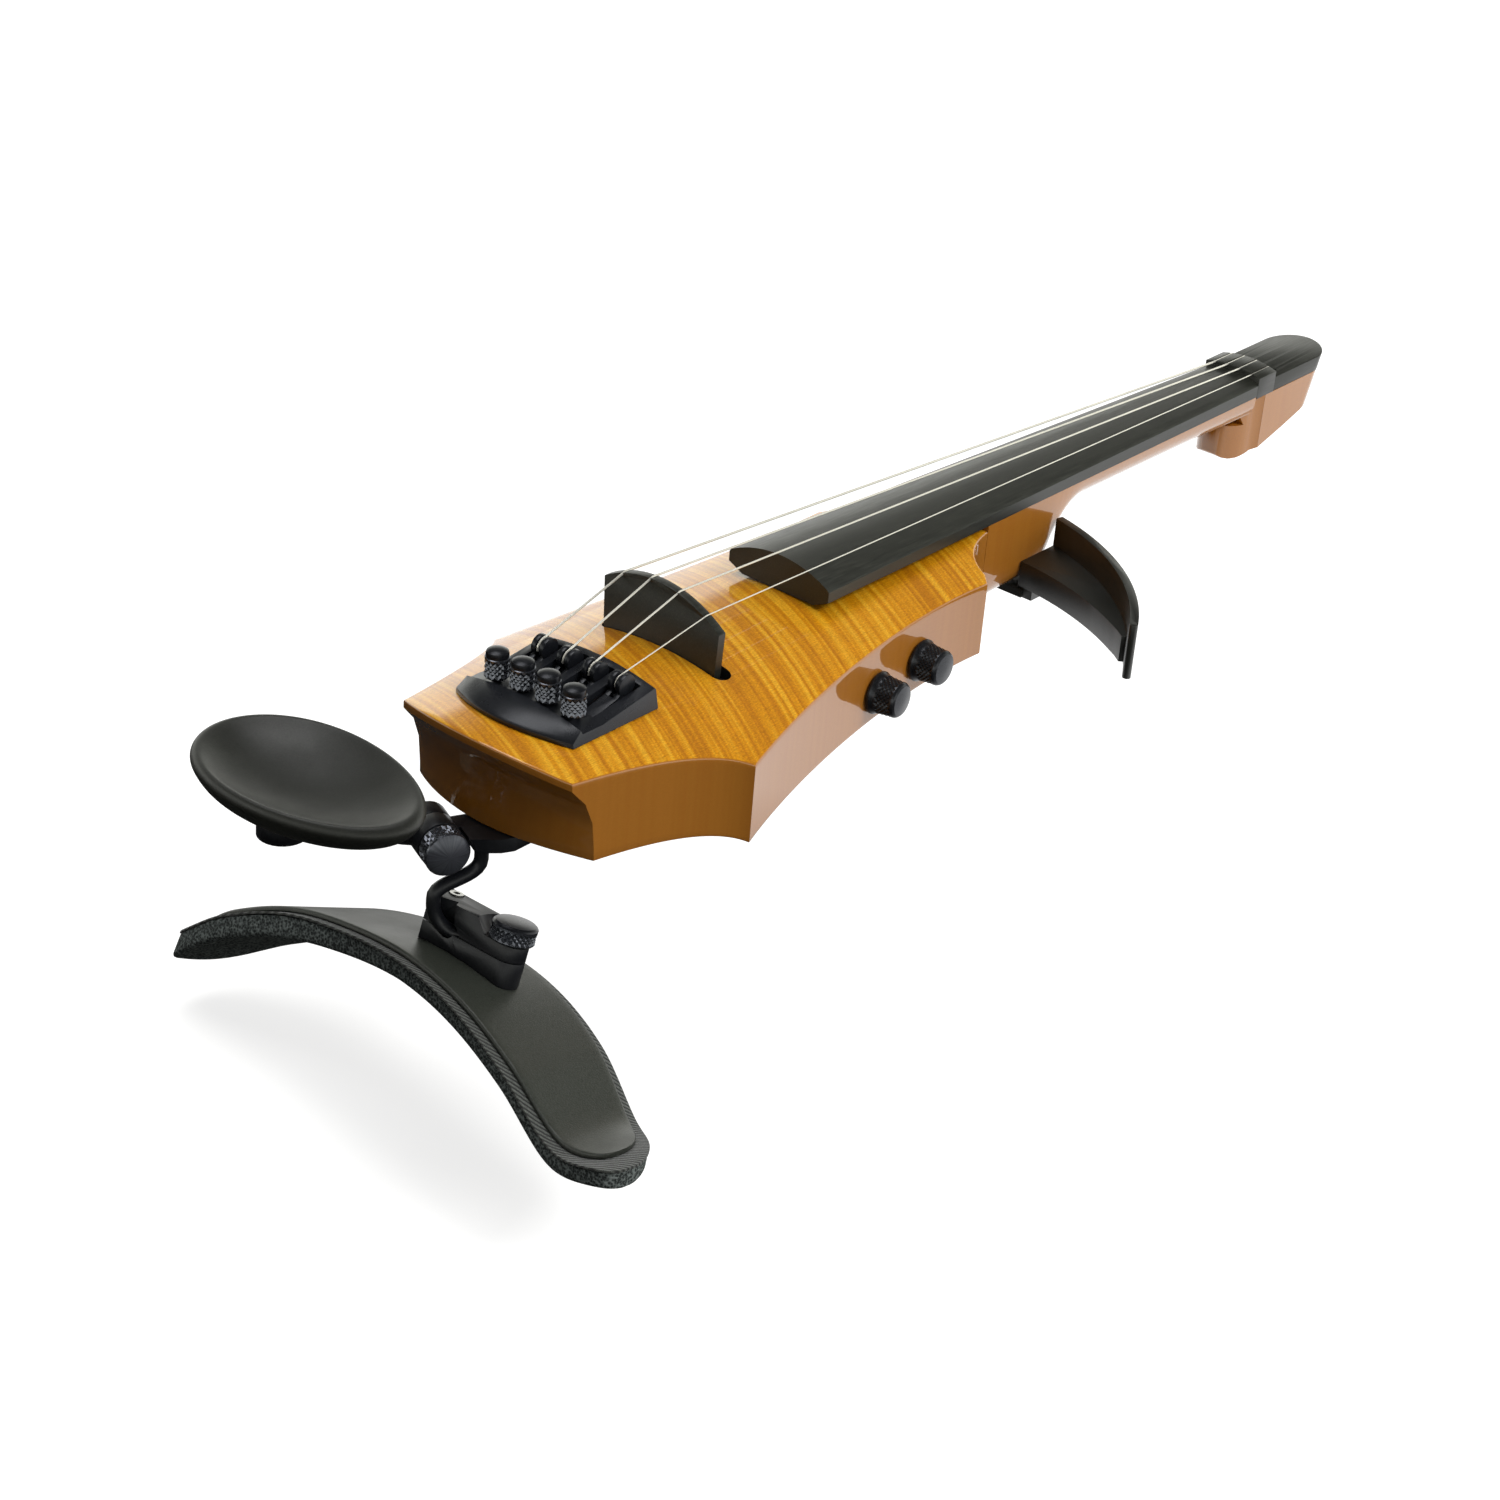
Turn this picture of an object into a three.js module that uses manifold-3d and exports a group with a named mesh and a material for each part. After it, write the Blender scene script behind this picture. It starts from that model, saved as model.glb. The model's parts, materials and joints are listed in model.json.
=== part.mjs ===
// Electric violin with a tail bracket, chin rest, shoulder rest and upper-bout arm.
// Lengths are millimetres. +X runs along the strings from the tail to the head,
// +Y points to the bass side and +Z points up, out of the top.
// The origin is on the flat underside of the tail bracket, in the middle of the violin's width.

import * as THREE from "three";
import { mergeVertices } from "three/addons/utils/BufferGeometryUtils.js";
import Module from "manifold-3d";

const wasm = await Module();
wasm.setup();

// Clearances
const seatGap = 0.3;
const glueGap = 0.15;
const runningGap = 0.2;
const overrun = 2;
const weldDistance = 0.0001;

// Body
const topArchRadius = 118;
const bodyThickness = 31.9;
const backSlopeShare = 0.0135;
const backDroop = 9.3;
const tailX = -88;
const tailBow = 9;
const tailHalfWidth = 35;
const lowerCornerX = -18.4;
const lowerCornerHalfWidth = 55.2;
const upperCornerX = 123.3;
const upperCornerHalfWidth = 36.8;
const cornerFlat = 3.2;
const neckJoinX = 148;
const tailUndercut = 7.6;
const tailLip = 3;
const tailUndercutHeight = 30;
const tailHollowReach = 45;
const flankBendX = -30.3;
const flankBendHalfWidth = 42.4;
const waistTailPullX = 20;
const waistTailPullHalfWidth = 44.5;
const waistNeckPullX = 80;
const waistNeckPullHalfWidth = 34;
const coveBendX = 130;
const coveBendHalfWidth = 20.5;

// Strings
const stringLength = 328;
const stringSpreadAtBridge = 34.1;
const stringSpreadAtNut = 16.5;
const stringHeightAtBridge = 21.4;
const stringHeightAtNut = 4.8;
const bassSideLift = 1.26;
const stringNames = ["g", "d", "a", "e"];
const thickestStringRadius = 0.42;
const stringRadiusShares = [1, 0.905, 0.81, 0.524];
const stringEndClearance = 1;
const stringEndDepth = 0.6;

// Fingerboard
const playingRadius = 42;
const fingerboardStartX = 56.4;
const fingerboardWideWidth = 42;
const fingerboardNutWidth = 24.3;
const fingerboardEdgeAtStart = 7.6;
const fingerboardEdgeAtNut = 1.4;
const fingerboardEdgeBevel = 0.8;
const fingerboardUndersideAtStart = 3.1;
const fingerboardUndersideAtNut = -3.9;
const keelHalfWidth = 15;
const keelHeight = 0.3;

// Neck, nut and head
const neckDepth = 11.6;
const heelDepth = 30;
const heelEndX = 191;
const heelBlendLength = 23;
const heelShoulderLength = 6;
const heelEdgeRound = 2;
const heelDrop = 6;
const neckEndFlareLength = 35;
const tenonLength = 40;
const tenonHalfWidth = 12;
const tenonDepth = 18;
const tenonRootLength = 5;
const nutLength = 12;
const nutRise = 0.5;
const nutFootDepth = 0.5;
const headPlateThickness = 5.6;
const headPlateEdge = 0.9;
const headPlateCrown = 1.1;
const headReach = 54.7;
const headEndRound = 11.7;
const headEndSlopeShare = 0.39;
const headHalfWidth = 11.9;
const headSlotLength = 6;
const headSlotWidth = 1.4;
const headSlotDepth = 1.6;
const noseSetback = 10.2;
const noseRound = 14;
const noseHalfWidth = 10.2;
const noseTaper = 3;
const scrollOverreach = 3.3;
const scrollDepth = 28.7;
const scrollSideShares = [
  [0.091, 0.418], [0.123, 0.551], [0.026, 0.551], [0.005, 0.58], [0, 0.66], [0, 0.9], [0.01, 0.97],
  [0.03, 1.01], [0.06, 1.025], [0.1, 1.02], [0.17, 0.985], [0.24, 0.94], [0.494, 0.787], [0.805, 0.578], [1, 0.17], [1, 0],
  [0.091, 0]];

// Bridge
const bridgeThickness = 3.1;
const bridgeBassHalfWidth = 24.3;
const bridgeTrebleHalfWidth = 23.6;
const slotDepth = 6;
const slotWidth = 7.2;
const slotHalfLength = 26;
const slotTailEdge = 1.9;
const pickupHeight = 2;
const pickupInset = 1;
const bridgeFootInset = 0.8;
const pickupHoleY = 12;
const pickupHoleRadius = 1.2;

// Tailpiece
const frameTailX = -75.4;
const frameBridgeX = -29.6;
const frameRimWidth = 3.3;
const frameBow = 8;
const frameNoseHeight = 2.6;
const frameDeckHeight = 3.4;
const frameDeckTailX = -63.5;
const frameRidgeHeight = 4.6;
const frameRidgeRun = 0.6;
const frameDeckEndX = -54;
const frameWallHeight = 6.8;
const frameWallThickness = 3;
const deckThickness = 1.7;
const frameFootHeight = 1.4;
const frameNoseRun = 1.2;
const frameDeckRun = 1;
const frameEdgeBevel = 0.4;
const frameDraft = 1.4;
const tunerPitch = 10.6;
const tunerKnobX = -58.6;
const tunerKnobRadius = 4;
const tunerKnobHeight = 9.6;
const tunerScrewRadius = 1.5;
const tunerKnobDome = 0.9;
const tunerKnobEdge = 0.4;
const knobFootBevel = 0.5;
const channelWidth = 7.4;
const pocketDepth = 5.4;
const pocketMargin = 0.4;
const rollerX = -37.5;
const rollerHeight = 5.9;
const rollerFlangeRadius = 3.6;
const grooveRadius = 2.5;
const leverWidth = 5;
const grooveWidth = 1.8;
const pivotX = -39.5;
const pivotHeight = 2;
const pivotRadius = 0.9;
const leverTailThickness = 2.4;
const leverTailTop = -0.5;
const leverTailStart = 4;
const leverTailReach = 3;
const leverTailRise = 3.4;
const leverNeckFront = 1.5;
const leverNeckDrop = 2.4;
const leverHeelFront = 1.2;
const leverHeelDrop = 2;
const leverFootBack = 1;
const leverFootDrop = 2.6;
const leverBackReach = 2.4;
const leverBackRise = 0.8;
const leverShoulderBack = 1.6;
const leverShoulderDrop = 1.4;

// Controls
const volumeX = 61.5;
const volumeHeight = -23.4;
const toneX = 87.5;
const toneHeight = -21.7;
const controlFlangeRadius = 7.3;
const controlKnobRadius = 6.4;
const controlKnobLength = 10.8;
const controlFlangeThickness = 1;
const controlKnobFlare = 0.2;
const controlNeckHeight = 2.2;
const controlKnobTaper = 0.4;
const controlShoulderLength = 1.2;
const controlFaceInset = 0.9;
const controlFaceDrop = 0.4;
const controlFaceCrown = 0.2;
const controlKnobCap = 2.4;
const potSetback = 1;
const potHoleDepth = 10;
const potRadius = 4.2;
const potDepth = 7;
const shaftRadius = 3;
const bushingRadius = 3.6;
const bushingFree = 0.6;

// Hollows in the back and what they hold
const batteryLength = 48.5;
const batteryWidth = 26.5;
const batteryHeight = 17.5;
const batteryEndGap = 1;
const studLength = 3;
const studSink = 1;
const studRadius = 3;
const studHalfSpread = 6.35;
const batteryHollowX = -50;
const batteryHollowLength = 53;
const batteryHollowHalfWidth = 15.5;
const batteryCeiling = -11;
const batteryCoverHeight = -31.4;
const controlHollowX = 44;
const controlHollowLength = 54;
const controlHollowTreble = -34;
const controlHollowBass = 22;
const controlCeiling = -12;
const controlCoverHeight = -30.2;
const coverThickness = 1.4;
const coverLip = 6;
const coverScrewHeadRadius = 2;
const coverScrewHeadHeight = 0.8;
const coverScrewProud = 0.2;
const coverScrewRadius = 1.1;
const coverScrewLength = 7;
const coverScrewEndGap = 1;
const wireHoleRadius = 3;
const wireHoleHeight = -20;
const jackX = 91.5;
const jackHeight = -20;
const jackSleeveRadius = 5.2;
const jackBoreRadius = 3.25;
const jackLength = 16;
const jackNutRadius = 7.4;
const jackNutThickness = 1.6;
const jackEndThickness = 2;
const boardThickness = 1.6;
const boardTailGap = 3;
const boardNeckGap = 7;
const boardTrebleY = -20;
const boardBassY = 18;
const chipHeight = 2.4;
const chipSink = 0.2;
const chipShares = [
  [0.114, 0.158, 0.295, 0.368], [0.432, 0.474, 0.705, 0.684], [0.159, 0.632, 0.318, 0.868],
  [0.795, 0.158, 0.932, 0.316], [0.523, 0.105, 0.636, 0.237]];

// Tail bracket and its clamp
const bracketSeatHeight = -33;
const bracketThickness = 4.8;
const bracketRootX = -60;
const bracketTipX = -85.5;
const bracketHalfWidth = 13;
const bracketClearance = 5;
const bracketCorner = 1.5;
const bracketShoulderRun = 7;
const bracketHornLength = 9.5;
const bracketHornShares = [
  [-0.326, -0.854], [0.632, -0.208], [0.526, 0.231], [1, 0.654], [0.211, 0.938], [-0.421, 1]];
const bracketScrewInset = 7;
const bracketScrewHalfSpread = 7.5;
const bracketScrewRadius = 1.7;
const bracketScrewReach = 2.4;
const bracketScrewSink = 2.2;
const bracketScrewSet = 0.2;
const bracketScrewHeadRadius = 3;
const bracketScrewHeadHeight = 1.8;
const datumSetback = 12;
const clampYaw = 65.2;
const clampX = -88.8;
const clampY = 11.6;
const clampHeight = -38.4;
const lugRadius = 7.4;
const lugThickness = 7;
const clampKnobRadius = 7.3;
const clampKnobLength = 7.2;
const clampBoltRadius = 2.4;
const clampBoltEnd = 5;
const clampKnobClearance = 0.8;
const clampKnobShoulder = 1.2;
const clampKnobFaceInset = 0.7;
const clampKnobFaceDrop = 0.5;
const clampKnobCrown = 1;
const clampNutRadius = 4.6;
const clampNutReach = 4;
const knobFaceBevel = 0.6;

// Chin rest arm
const chinArmOffset = 0.2;
const chinArmRootReach = 3;
const chinArmBendReach = 2;
const chinArmBendRise = 1.5;
const chinArmRunLength = 22;
const chinArmRunRise = 8.5;
const chinArmEndLength = 12;
const chinArmEndDrop = 0.6;
const chinArmEndRise = 2.6;
const chinArmSideStep = 1;
const chinArmRootHalfWidth = 3.3;
const chinArmEndHalfWidth = 4;
const chinArmRootHalfHeight = 4.6;
const chinArmEndHalfHeight = 2.6;
const chinArmEdge = 1;
const lugClearance = 1;

// Chin rest
const chinX = -138.4;
const chinY = 13.2;
const chinHeight = 2;
const chinHalfLength = 41.1;
const chinHalfWidth = 25.7;
const chinEggShare = 0.1;
const chinDish = 8;
const chinRim = 5;
const chinThickness = 5;
const bossTailOffset = 6.1;
const bossBassOffset = 4.8;
const hubDrop = 15.6;
const bossRadius = 7.7;
const bossHeight = 5;
const hubSink = 2;
const chinThreadGap = 3;
const chinScrewRadius = 2;
const chinScrewLength = 6.4;
const chinScrewSink = 2.2;
const chinScrewHeadRadius = 3.6;
const chinScrewHeadHeight = 1.7;

// Rod and shoulder rest
const rodRadius = 2.3;
const rodTopX = -84;
const rodTopY = -4.5;
const rodTopHeight = -35;
const rodLowX = -97.3;
const rodLowY = 2.2;
const rodBendRadius = 9;
const rodEndYaw = -60;
const rodEndLength = 12;
const rodTopStraight = 7;
const rodTopPull = 7;
const rodLowStraight = 2.5;
const rodLowPull = 6;
const barSplitHeight = -65;
const barTilt = 18.8;
const barWidth = 10.5;
const barNearX = -3.4;
const barBassY = 13.1;
const barTrebleY = -23.5;
const clampBarHeight = 9.1;
const clampBarRodClearance = 1.7;
const barScrewReach = 4.5;
const thumbSetback = 0.8;
const thumbScrewRadius = 2;
const thumbSeatHeight = 4.9;
const thumbRecessRadius = 8.2;
const thumbRecessMouth = 11.7;
const socketScrewX = 4.4;
const socketScrewY = 9.2;
const socketScrewRadius = 1.25;
const socketHeadRadius = 2.3;
const socketHeadHeight = 1.5;
const socketHeadSink = 1.4;
const socketHeadProud = 0.4;
const socketKeyDepth = 1.1;
const socketKeyRadius = 1.2;
const thumbKnobRadius = 7.15;
const thumbKnobHeight = 6.6;
const thumbKnobShoulder = 0.9;
const thumbRimInset = 0.8;
const thumbRimWidth = 0.6;
const thumbDish = 1.1;
const padX = -94;
const padY = -4.5;
const padHeight = -77;
const padTilt = 18.8;
const padTwist = 9.2;
const padBow = 23.4;
const padSweep = 6.2;
const padYaw = -1.2;
const padHalfLength = 102;
const padHalfWidth = 23.8;
const padRise = 28.3;
const padRiseShares = [-0.177, -0.452, -0.134, 0.078, 0.141, 0.064, -0.113, -0.495, -1];
const foamThickness = 7.4;
const foamThicknessShares = [0.73, 0.622, 0.649, 1, 1.08];
const foamInset = 0.4;
const foamLowEdge = 1.8;
const foamHighEdge = 0.4;
const facingThickness = 0.8;
const facingEdge = 0.2;
const plateThickness = 1.7;
const plateInset = 3.4;
const plateEndInset = 8;
const plateLowEdge = 0.3;
const plateHighEdge = 0.9;

// Upper-bout arm
const armHeight = 20;
const armTopHeight = -10;
const armWall = 3;
const armBandHeight = 9.5;
const armOuterRadius = 106.3;
const armRootX = 193.73;
const armRootY = -17.96;
const armRootAngle = -13.8;
const armTipAngle = -59.8;
const armBandTipAngle = -53.8;
const armBandWidth = 20.87;
const armBandShares = [1, 0.924, 0.839, 0.745, 0.642, 0.53, 0.41, 0.282, 0.146];
const armFlangeThickness = 3;
const armFlangeLength = 20;
const armFlangeLap = 2;
const armFlangeSetback = 1;
const armFlangeBassY = 9;
const armDropInset = 0.7;
const armDropThickness = 6;
const armDropReach = 1;
const armDropSink = 1;
const heelClearLength = 12;
const boutScrewInset = 6;
const boutScrewSpacing = 9;
const boutScrewY = -4;
const boutScrewRadius = 1.6;
const boutScrewLength = 4.8;
const boutScrewHeadRadius = 3;
const boutScrewHeadHeight = 1.6;

// Colours
const maple = new THREE.MeshStandardMaterial({ color: 0xb06f1e, roughness: 0.2 });
const ebony = new THREE.MeshStandardMaterial({ color: 0x34342f, roughness: 0.5 });
const blackMetal = new THREE.MeshStandardMaterial({ color: 0x2a2c33, roughness: 0.35, metalness: 0.8 });
const blackPlastic = new THREE.MeshStandardMaterial({ color: 0x33332e, roughness: 0.7 });
const steel = new THREE.MeshStandardMaterial({ color: 0xc9c9c4, roughness: 0.25, metalness: 1 });
const foam = new THREE.MeshStandardMaterial({ color: 0x353c40, roughness: 1 });
const fabric = new THREE.MeshStandardMaterial({ color: 0x1c1e1f, roughness: 1 });
const circuitGreen = new THREE.MeshStandardMaterial({ color: 0x1f5a38, roughness: 0.5 });
const batteryGrey = new THREE.MeshStandardMaterial({ color: 0x6d7076, roughness: 0.4, metalness: 0.5 });

// Places that follow from the sizes
const frameHalfWidth = 2 * tunerPitch + frameRimWidth;
const bossX = chinX - bossTailOffset;
const bossY = chinY + bossBassOffset;
const bossTop = chinHeight - hubDrop;
const noseX = stringLength - noseSetback;
const headEndX = stringLength + headReach;
const scrollLength = headReach + noseSetback + scrollOverreach;
const pocketHalfWidth = 1.5 * tunerPitch + channelWidth / 2 + pocketMargin;

// Small helpers for points, solids and meshes

const vector = (x, y, z) => new THREE.Vector3(x, y, z);
const radians = (degrees) => THREE.MathUtils.degToRad(degrees);
const arch = (y, radius) => radius - Math.sqrt(radius * radius - y * y);

function toSolid(geometry) {
  const bare = geometry.clone();
  bare.deleteAttribute("normal");
  bare.deleteAttribute("uv");
  const merged = mergeVertices(bare, weldDistance);
  const vertProperties = new Float32Array(merged.attributes.position.array);
  const triVerts = new Uint32Array(merged.index.array);
  return new wasm.Manifold(new wasm.Mesh({ numProp: 3, vertProperties, triVerts }));
}

function toGeometry(solid) {
  const mesh = solid.getMesh();
  const geometry = new THREE.BufferGeometry();
  geometry.setAttribute("position", new THREE.BufferAttribute(mesh.vertProperties, 3));
  geometry.setIndex(new THREE.BufferAttribute(mesh.triVerts, 1));
  return geometry;
}

function cut(base, ...tools) {
  return toGeometry(tools.reduce((solid, tool) => solid.subtract(toSolid(tool)), toSolid(base)));
}

function join(base, ...others) {
  return toGeometry(others.reduce((solid, other) => solid.add(toSolid(other)), toSolid(base)));
}

function overlap(base, other) {
  return toGeometry(toSolid(base).intersect(toSolid(other)));
}

// A box between two corners.
function box(low, high) {
  const geometry = new THREE.BoxGeometry(high[0] - low[0], high[1] - low[1], high[2] - low[2]);
  return geometry.translate((low[0] + high[0]) / 2, (low[1] + high[1]) / 2, (low[2] + high[2]) / 2);
}

// A round bar between two points.
function rod(start, end, radius, sides = 16) {
  const direction = end.clone().sub(start);
  const geometry = new THREE.CylinderGeometry(radius, radius, direction.length(), sides);
  const turn = new THREE.Quaternion().setFromUnitVectors(vector(0, 1, 0), direction.clone().normalize());
  geometry.applyQuaternion(turn);
  const middle = start.clone().add(end).multiplyScalar(0.5);
  return geometry.translate(middle.x, middle.y, middle.z);
}

const upright = (x, y, low, high, radius, sides) => rod(vector(x, y, low), vector(x, y, high), radius, sides);

// A turned solid: its profile gives radius and height, and starts and ends on the axis.
function turned(profile, sides = 24) {
  const points = profile.map(([radius, height]) => new THREE.Vector2(radius, height));
  return new THREE.LatheGeometry(points, sides).rotateX(Math.PI / 2);
}

// Stands a turned solid on a point, with its axis along a direction.
function aim(geometry, place, direction) {
  const turn = new THREE.Quaternion().setFromUnitVectors(vector(0, 0, 1), direction.clone().normalize());
  return geometry.applyQuaternion(turn).translate(place.x, place.y, place.z);
}

function shapeOf(points) {
  return new THREE.Shape(points.map(([u, v]) => new THREE.Vector2(u, v)));
}

// Prisms: an outline in one plane, carried along the axis square to it.
function prismZ(shape, low, high) {
  const geometry = new THREE.ExtrudeGeometry(shape, { depth: high - low, bevelEnabled: false });
  return geometry.translate(0, 0, low);
}

function prismY(points, low, high) {
  const geometry = new THREE.ExtrudeGeometry(shapeOf(points), { depth: high - low, bevelEnabled: false });
  return geometry.rotateX(Math.PI / 2).translate(0, high, 0);
}

function prismX(points, low, high) {
  const geometry = new THREE.ExtrudeGeometry(shapeOf(points), { depth: high - low, bevelEnabled: false });
  const turn = new THREE.Matrix4().makeBasis(vector(0, 1, 0), vector(0, 0, 1), vector(1, 0, 0));
  return geometry.applyMatrix4(turn).translate(low, 0, 0);
}

// A skin over matching rings of points, closed at both ends.
function loft(rings) {
  const count = rings[0].length;
  const points = rings.flat();
  const middleOf = (ring) => ring.reduce((sum, p) => sum.add(p), vector(0, 0, 0)).divideScalar(count);
  points.push(middleOf(rings[0]), middleOf(rings[rings.length - 1]));
  const index = [];
  for (let r = 0; r + 1 < rings.length; r += 1) {
    for (let i = 0; i < count; i += 1) {
      const a = r * count + i;
      const b = r * count + ((i + 1) % count);
      index.push(a, b, b + count, a, b + count, a + count);
    }
  }
  const last = (rings.length - 1) * count;
  for (let i = 0; i < count; i += 1) {
    const next = (i + 1) % count;
    index.push(points.length - 2, next, i);
    index.push(points.length - 1, last + i, last + next);
  }
  return facingOut(points, index);
}

// A closed skin whose faces point out, whichever way its rings were given.
function facingOut(points, index) {
  let volume = 0;
  for (let i = 0; i < index.length; i += 3) {
    const [a, b, c] = [points[index[i]], points[index[i + 1]], points[index[i + 2]]];
    volume += a.dot(b.clone().cross(c));
  }
  const order = volume > 0 ? index : index.slice().reverse();
  const geometry = new THREE.BufferGeometry();
  geometry.setAttribute("position", new THREE.Float32BufferAttribute(points.flatMap((p) => p.toArray()), 3));
  geometry.setIndex(order);
  return geometry;
}

// A bar swept along a route: each ring is a section set square to the route and kept level.
function sweep(route, sectionAt) {
  const rings = route.map((point, i) => {
    const before = route[Math.max(i - 1, 0)];
    const after = route[Math.min(i + 1, route.length - 1)];
    const along = after.clone().sub(before).normalize();
    const side = sideOf(along);
    const up = along.clone().cross(side);
    return sectionAt(i / (route.length - 1)).map(([u, v]) =>
      point.clone().addScaledVector(side, u).addScaledVector(up, v));
  });
  return loft(rings);
}

// The sideways direction of a section. A level string keeps its own side, so it never twists.
function sideOf(along) {
  const side = vector(0, 1, 0).addScaledVector(along, -along.y);
  return side.normalize();
}

const circle = (radius, sides) => Array.from({ length: sides }, (_, i) => {
  const angle = (2 * Math.PI * i) / sides;
  return [radius * Math.cos(angle), radius * Math.sin(angle)];
});

const violin = new THREE.Group();
const instrument = new THREE.Group();
instrument.position.x = datumSetback - bracketRootX;
instrument.position.z = bracketThickness + seatGap - bracketSeatHeight;
violin.add(instrument);

function add(name, geometry, material, parent = instrument) {
  const mesh = new THREE.Mesh(geometry, material);
  mesh.name = name;
  parent.add(mesh);
  return mesh;
}

// Body outline

const waist = new THREE.CubicBezierCurve(
  new THREE.Vector2(lowerCornerX, lowerCornerHalfWidth),
  new THREE.Vector2(waistTailPullX, waistTailPullHalfWidth),
  new THREE.Vector2(waistNeckPullX, waistNeckPullHalfWidth),
  new THREE.Vector2(upperCornerX, upperCornerHalfWidth),
);

// Where the waist lies at a given x, and the way out of it, on one side of the body.
function wallAt(x, side) {
  let share = 0.5;
  let step = 0.25;
  for (let i = 0; i < 24; i += 1) {
    share += waist.getPoint(share).x < x ? step : -step;
    step /= 2;
  }
  const point = waist.getPoint(share);
  const tangent = waist.getTangent(share);
  return {
    point: vector(point.x, side * point.y, 0),
    out: vector(-tangent.y, side * tangent.x, 0),
  };
}

const fingerboardHalfWidth = (x) => {
  const share = (stringLength - x) / (stringLength - fingerboardStartX);
  return (fingerboardNutWidth + (fingerboardWideWidth - fingerboardNutWidth) * share) / 2;
};
const neckHalfWidth = (x) => fingerboardHalfWidth(x) - glueGap;

const tailRadius = (tailHalfWidth ** 2 + tailBow ** 2) / (2 * tailBow);
const tailCentreX = tailX + tailRadius;

function bodyOutline() {
  const half = new THREE.Path();
  const sweepAngle = Math.asin(tailHalfWidth / tailRadius);
  half.absarc(tailCentreX, 0, tailRadius, Math.PI, Math.PI - sweepAngle, true);
  half.quadraticCurveTo(flankBendX, flankBendHalfWidth, lowerCornerX, lowerCornerHalfWidth);
  half.bezierCurveTo(waist.v1.x, waist.v1.y, waist.v2.x, waist.v2.y, waist.v3.x, waist.v3.y);
  half.lineTo(upperCornerX + cornerFlat, upperCornerHalfWidth - cornerFlat);
  half.quadraticCurveTo(coveBendX, coveBendHalfWidth, neckJoinX, neckHalfWidth(neckJoinX));
  const points = half.getPoints(9).map((p) => [p.x, p.y]);
  const mirrored = points.slice(1).map(([x, y]) => [x, -y]).reverse();
  return shapeOf([...points, ...mirrored]);
}

const backHeight = (x, y) => {
  const share = Math.abs(y) / lowerCornerHalfWidth;
  return -bodyThickness + backSlopeShare * x - backDroop * (0.24 * share ** 2 + 0.76 * share ** 4);
};

// The bent slab that the body is sawn from: arched on top, and gently on the back.
function slab(lift) {
  const reach = lowerCornerHalfWidth + overrun;
  const columns = 16;
  const ringAt = (x) => {
    const across = Array.from({ length: columns + 1 }, (_, i) => -reach + (2 * reach * i) / columns);
    const top = across.map((y) => vector(x, y, lift - arch(y, topArchRadius)));
    const back = across.map((y) => vector(x, y, backHeight(x, y))).reverse();
    return [...top, ...back];
  };
  return loft([ringAt(tailX - overrun), ringAt(neckJoinX + overrun)]);
}

// The hollow under the lip of the tail face.
function tailHollow() {
  const outside = tailRadius + 4 * overrun;
  const floor = -2 * bodyThickness;
  const inShare = [0, 0.55, 0.85, 1];
  const downShare = [0, 0.22, 0.5, 1];
  const wall = inShare.map((share, i) => {
    const depth = tailLip + downShare[i] * tailUndercutHeight;
    return [tailRadius + glueGap - share * (tailUndercut + glueGap), -depth];
  });
  const corner = wall[0];
  const ring = turned([...wall, [wall[3][0], floor], [outside, floor], [outside, -tailLip], corner], 80);
  const keep = box([tailCentreX - outside - overrun, -2 * tailHalfWidth, floor - overrun],
    [tailX + tailHollowReach, 2 * tailHalfWidth, 0]);
  return overlap(ring.translate(tailCentreX, 0, 0), keep);
}

// A slot with round ends, standing along Y.
function slot(centreX, width, halfLength, low, high) {
  const straight = halfLength - width / 2;
  const middle = box([centreX - width / 2, -straight, low], [centreX + width / 2, straight, high]);
  const ends = [-straight, straight].map((y) => upright(centreX, y, low, high, width / 2, 12));
  return join(middle, ...ends);
}

const batteryEndX = batteryHollowX + batteryHollowLength;
const controlEndX = controlHollowX + controlHollowLength;
const hollowFloor = -bodyThickness - 2 * overrun;
const coverTop = (height) => height + coverThickness;

const batteryCoverBox = [
  batteryHollowX - coverLip, -batteryHollowHalfWidth - coverLip, batteryEndX + coverLip,
    batteryHollowHalfWidth + coverLip];
const controlCoverBox = [
  controlHollowX - coverLip, controlHollowTreble - coverLip / 4, controlEndX + coverLip,
    controlHollowBass + coverLip];

function coverRecess([lowX, lowY, highX, highY], height) {
  return box([lowX, lowY, hollowFloor - overrun], [highX, highY, coverTop(height) + seatGap]);
}

const coverScrewInset = coverLip / 2;
const batteryScrews = [
  [batteryCoverBox[0] + coverScrewInset, 0],
  [batteryCoverBox[2] - coverScrewInset, 0],
];
const controlScrews = [
  [controlCoverBox[0] + coverScrewInset, controlHollowTreble / 2],
  [controlCoverBox[2] - coverScrewInset, controlHollowTreble / 2],
  [controlCoverBox[0] + coverScrewInset, controlHollowBass],
  [controlCoverBox[2] - coverScrewInset, controlHollowBass],
];

// A screw driven up from below, with its head's face at the given height.
function screwUp(x, y, face, headRadius, headHeight, shankRadius, length) {
  const profile = [
    [0, 0], [headRadius, 0], [headRadius, headHeight], [shankRadius, headHeight], [shankRadius, length],
    [0, length]];
  return turned(profile, 12).translate(x, y, face);
}

const screwHole = (x, y, low, high, radius) => upright(x, y, low, high, radius + runningGap, 10);

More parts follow.
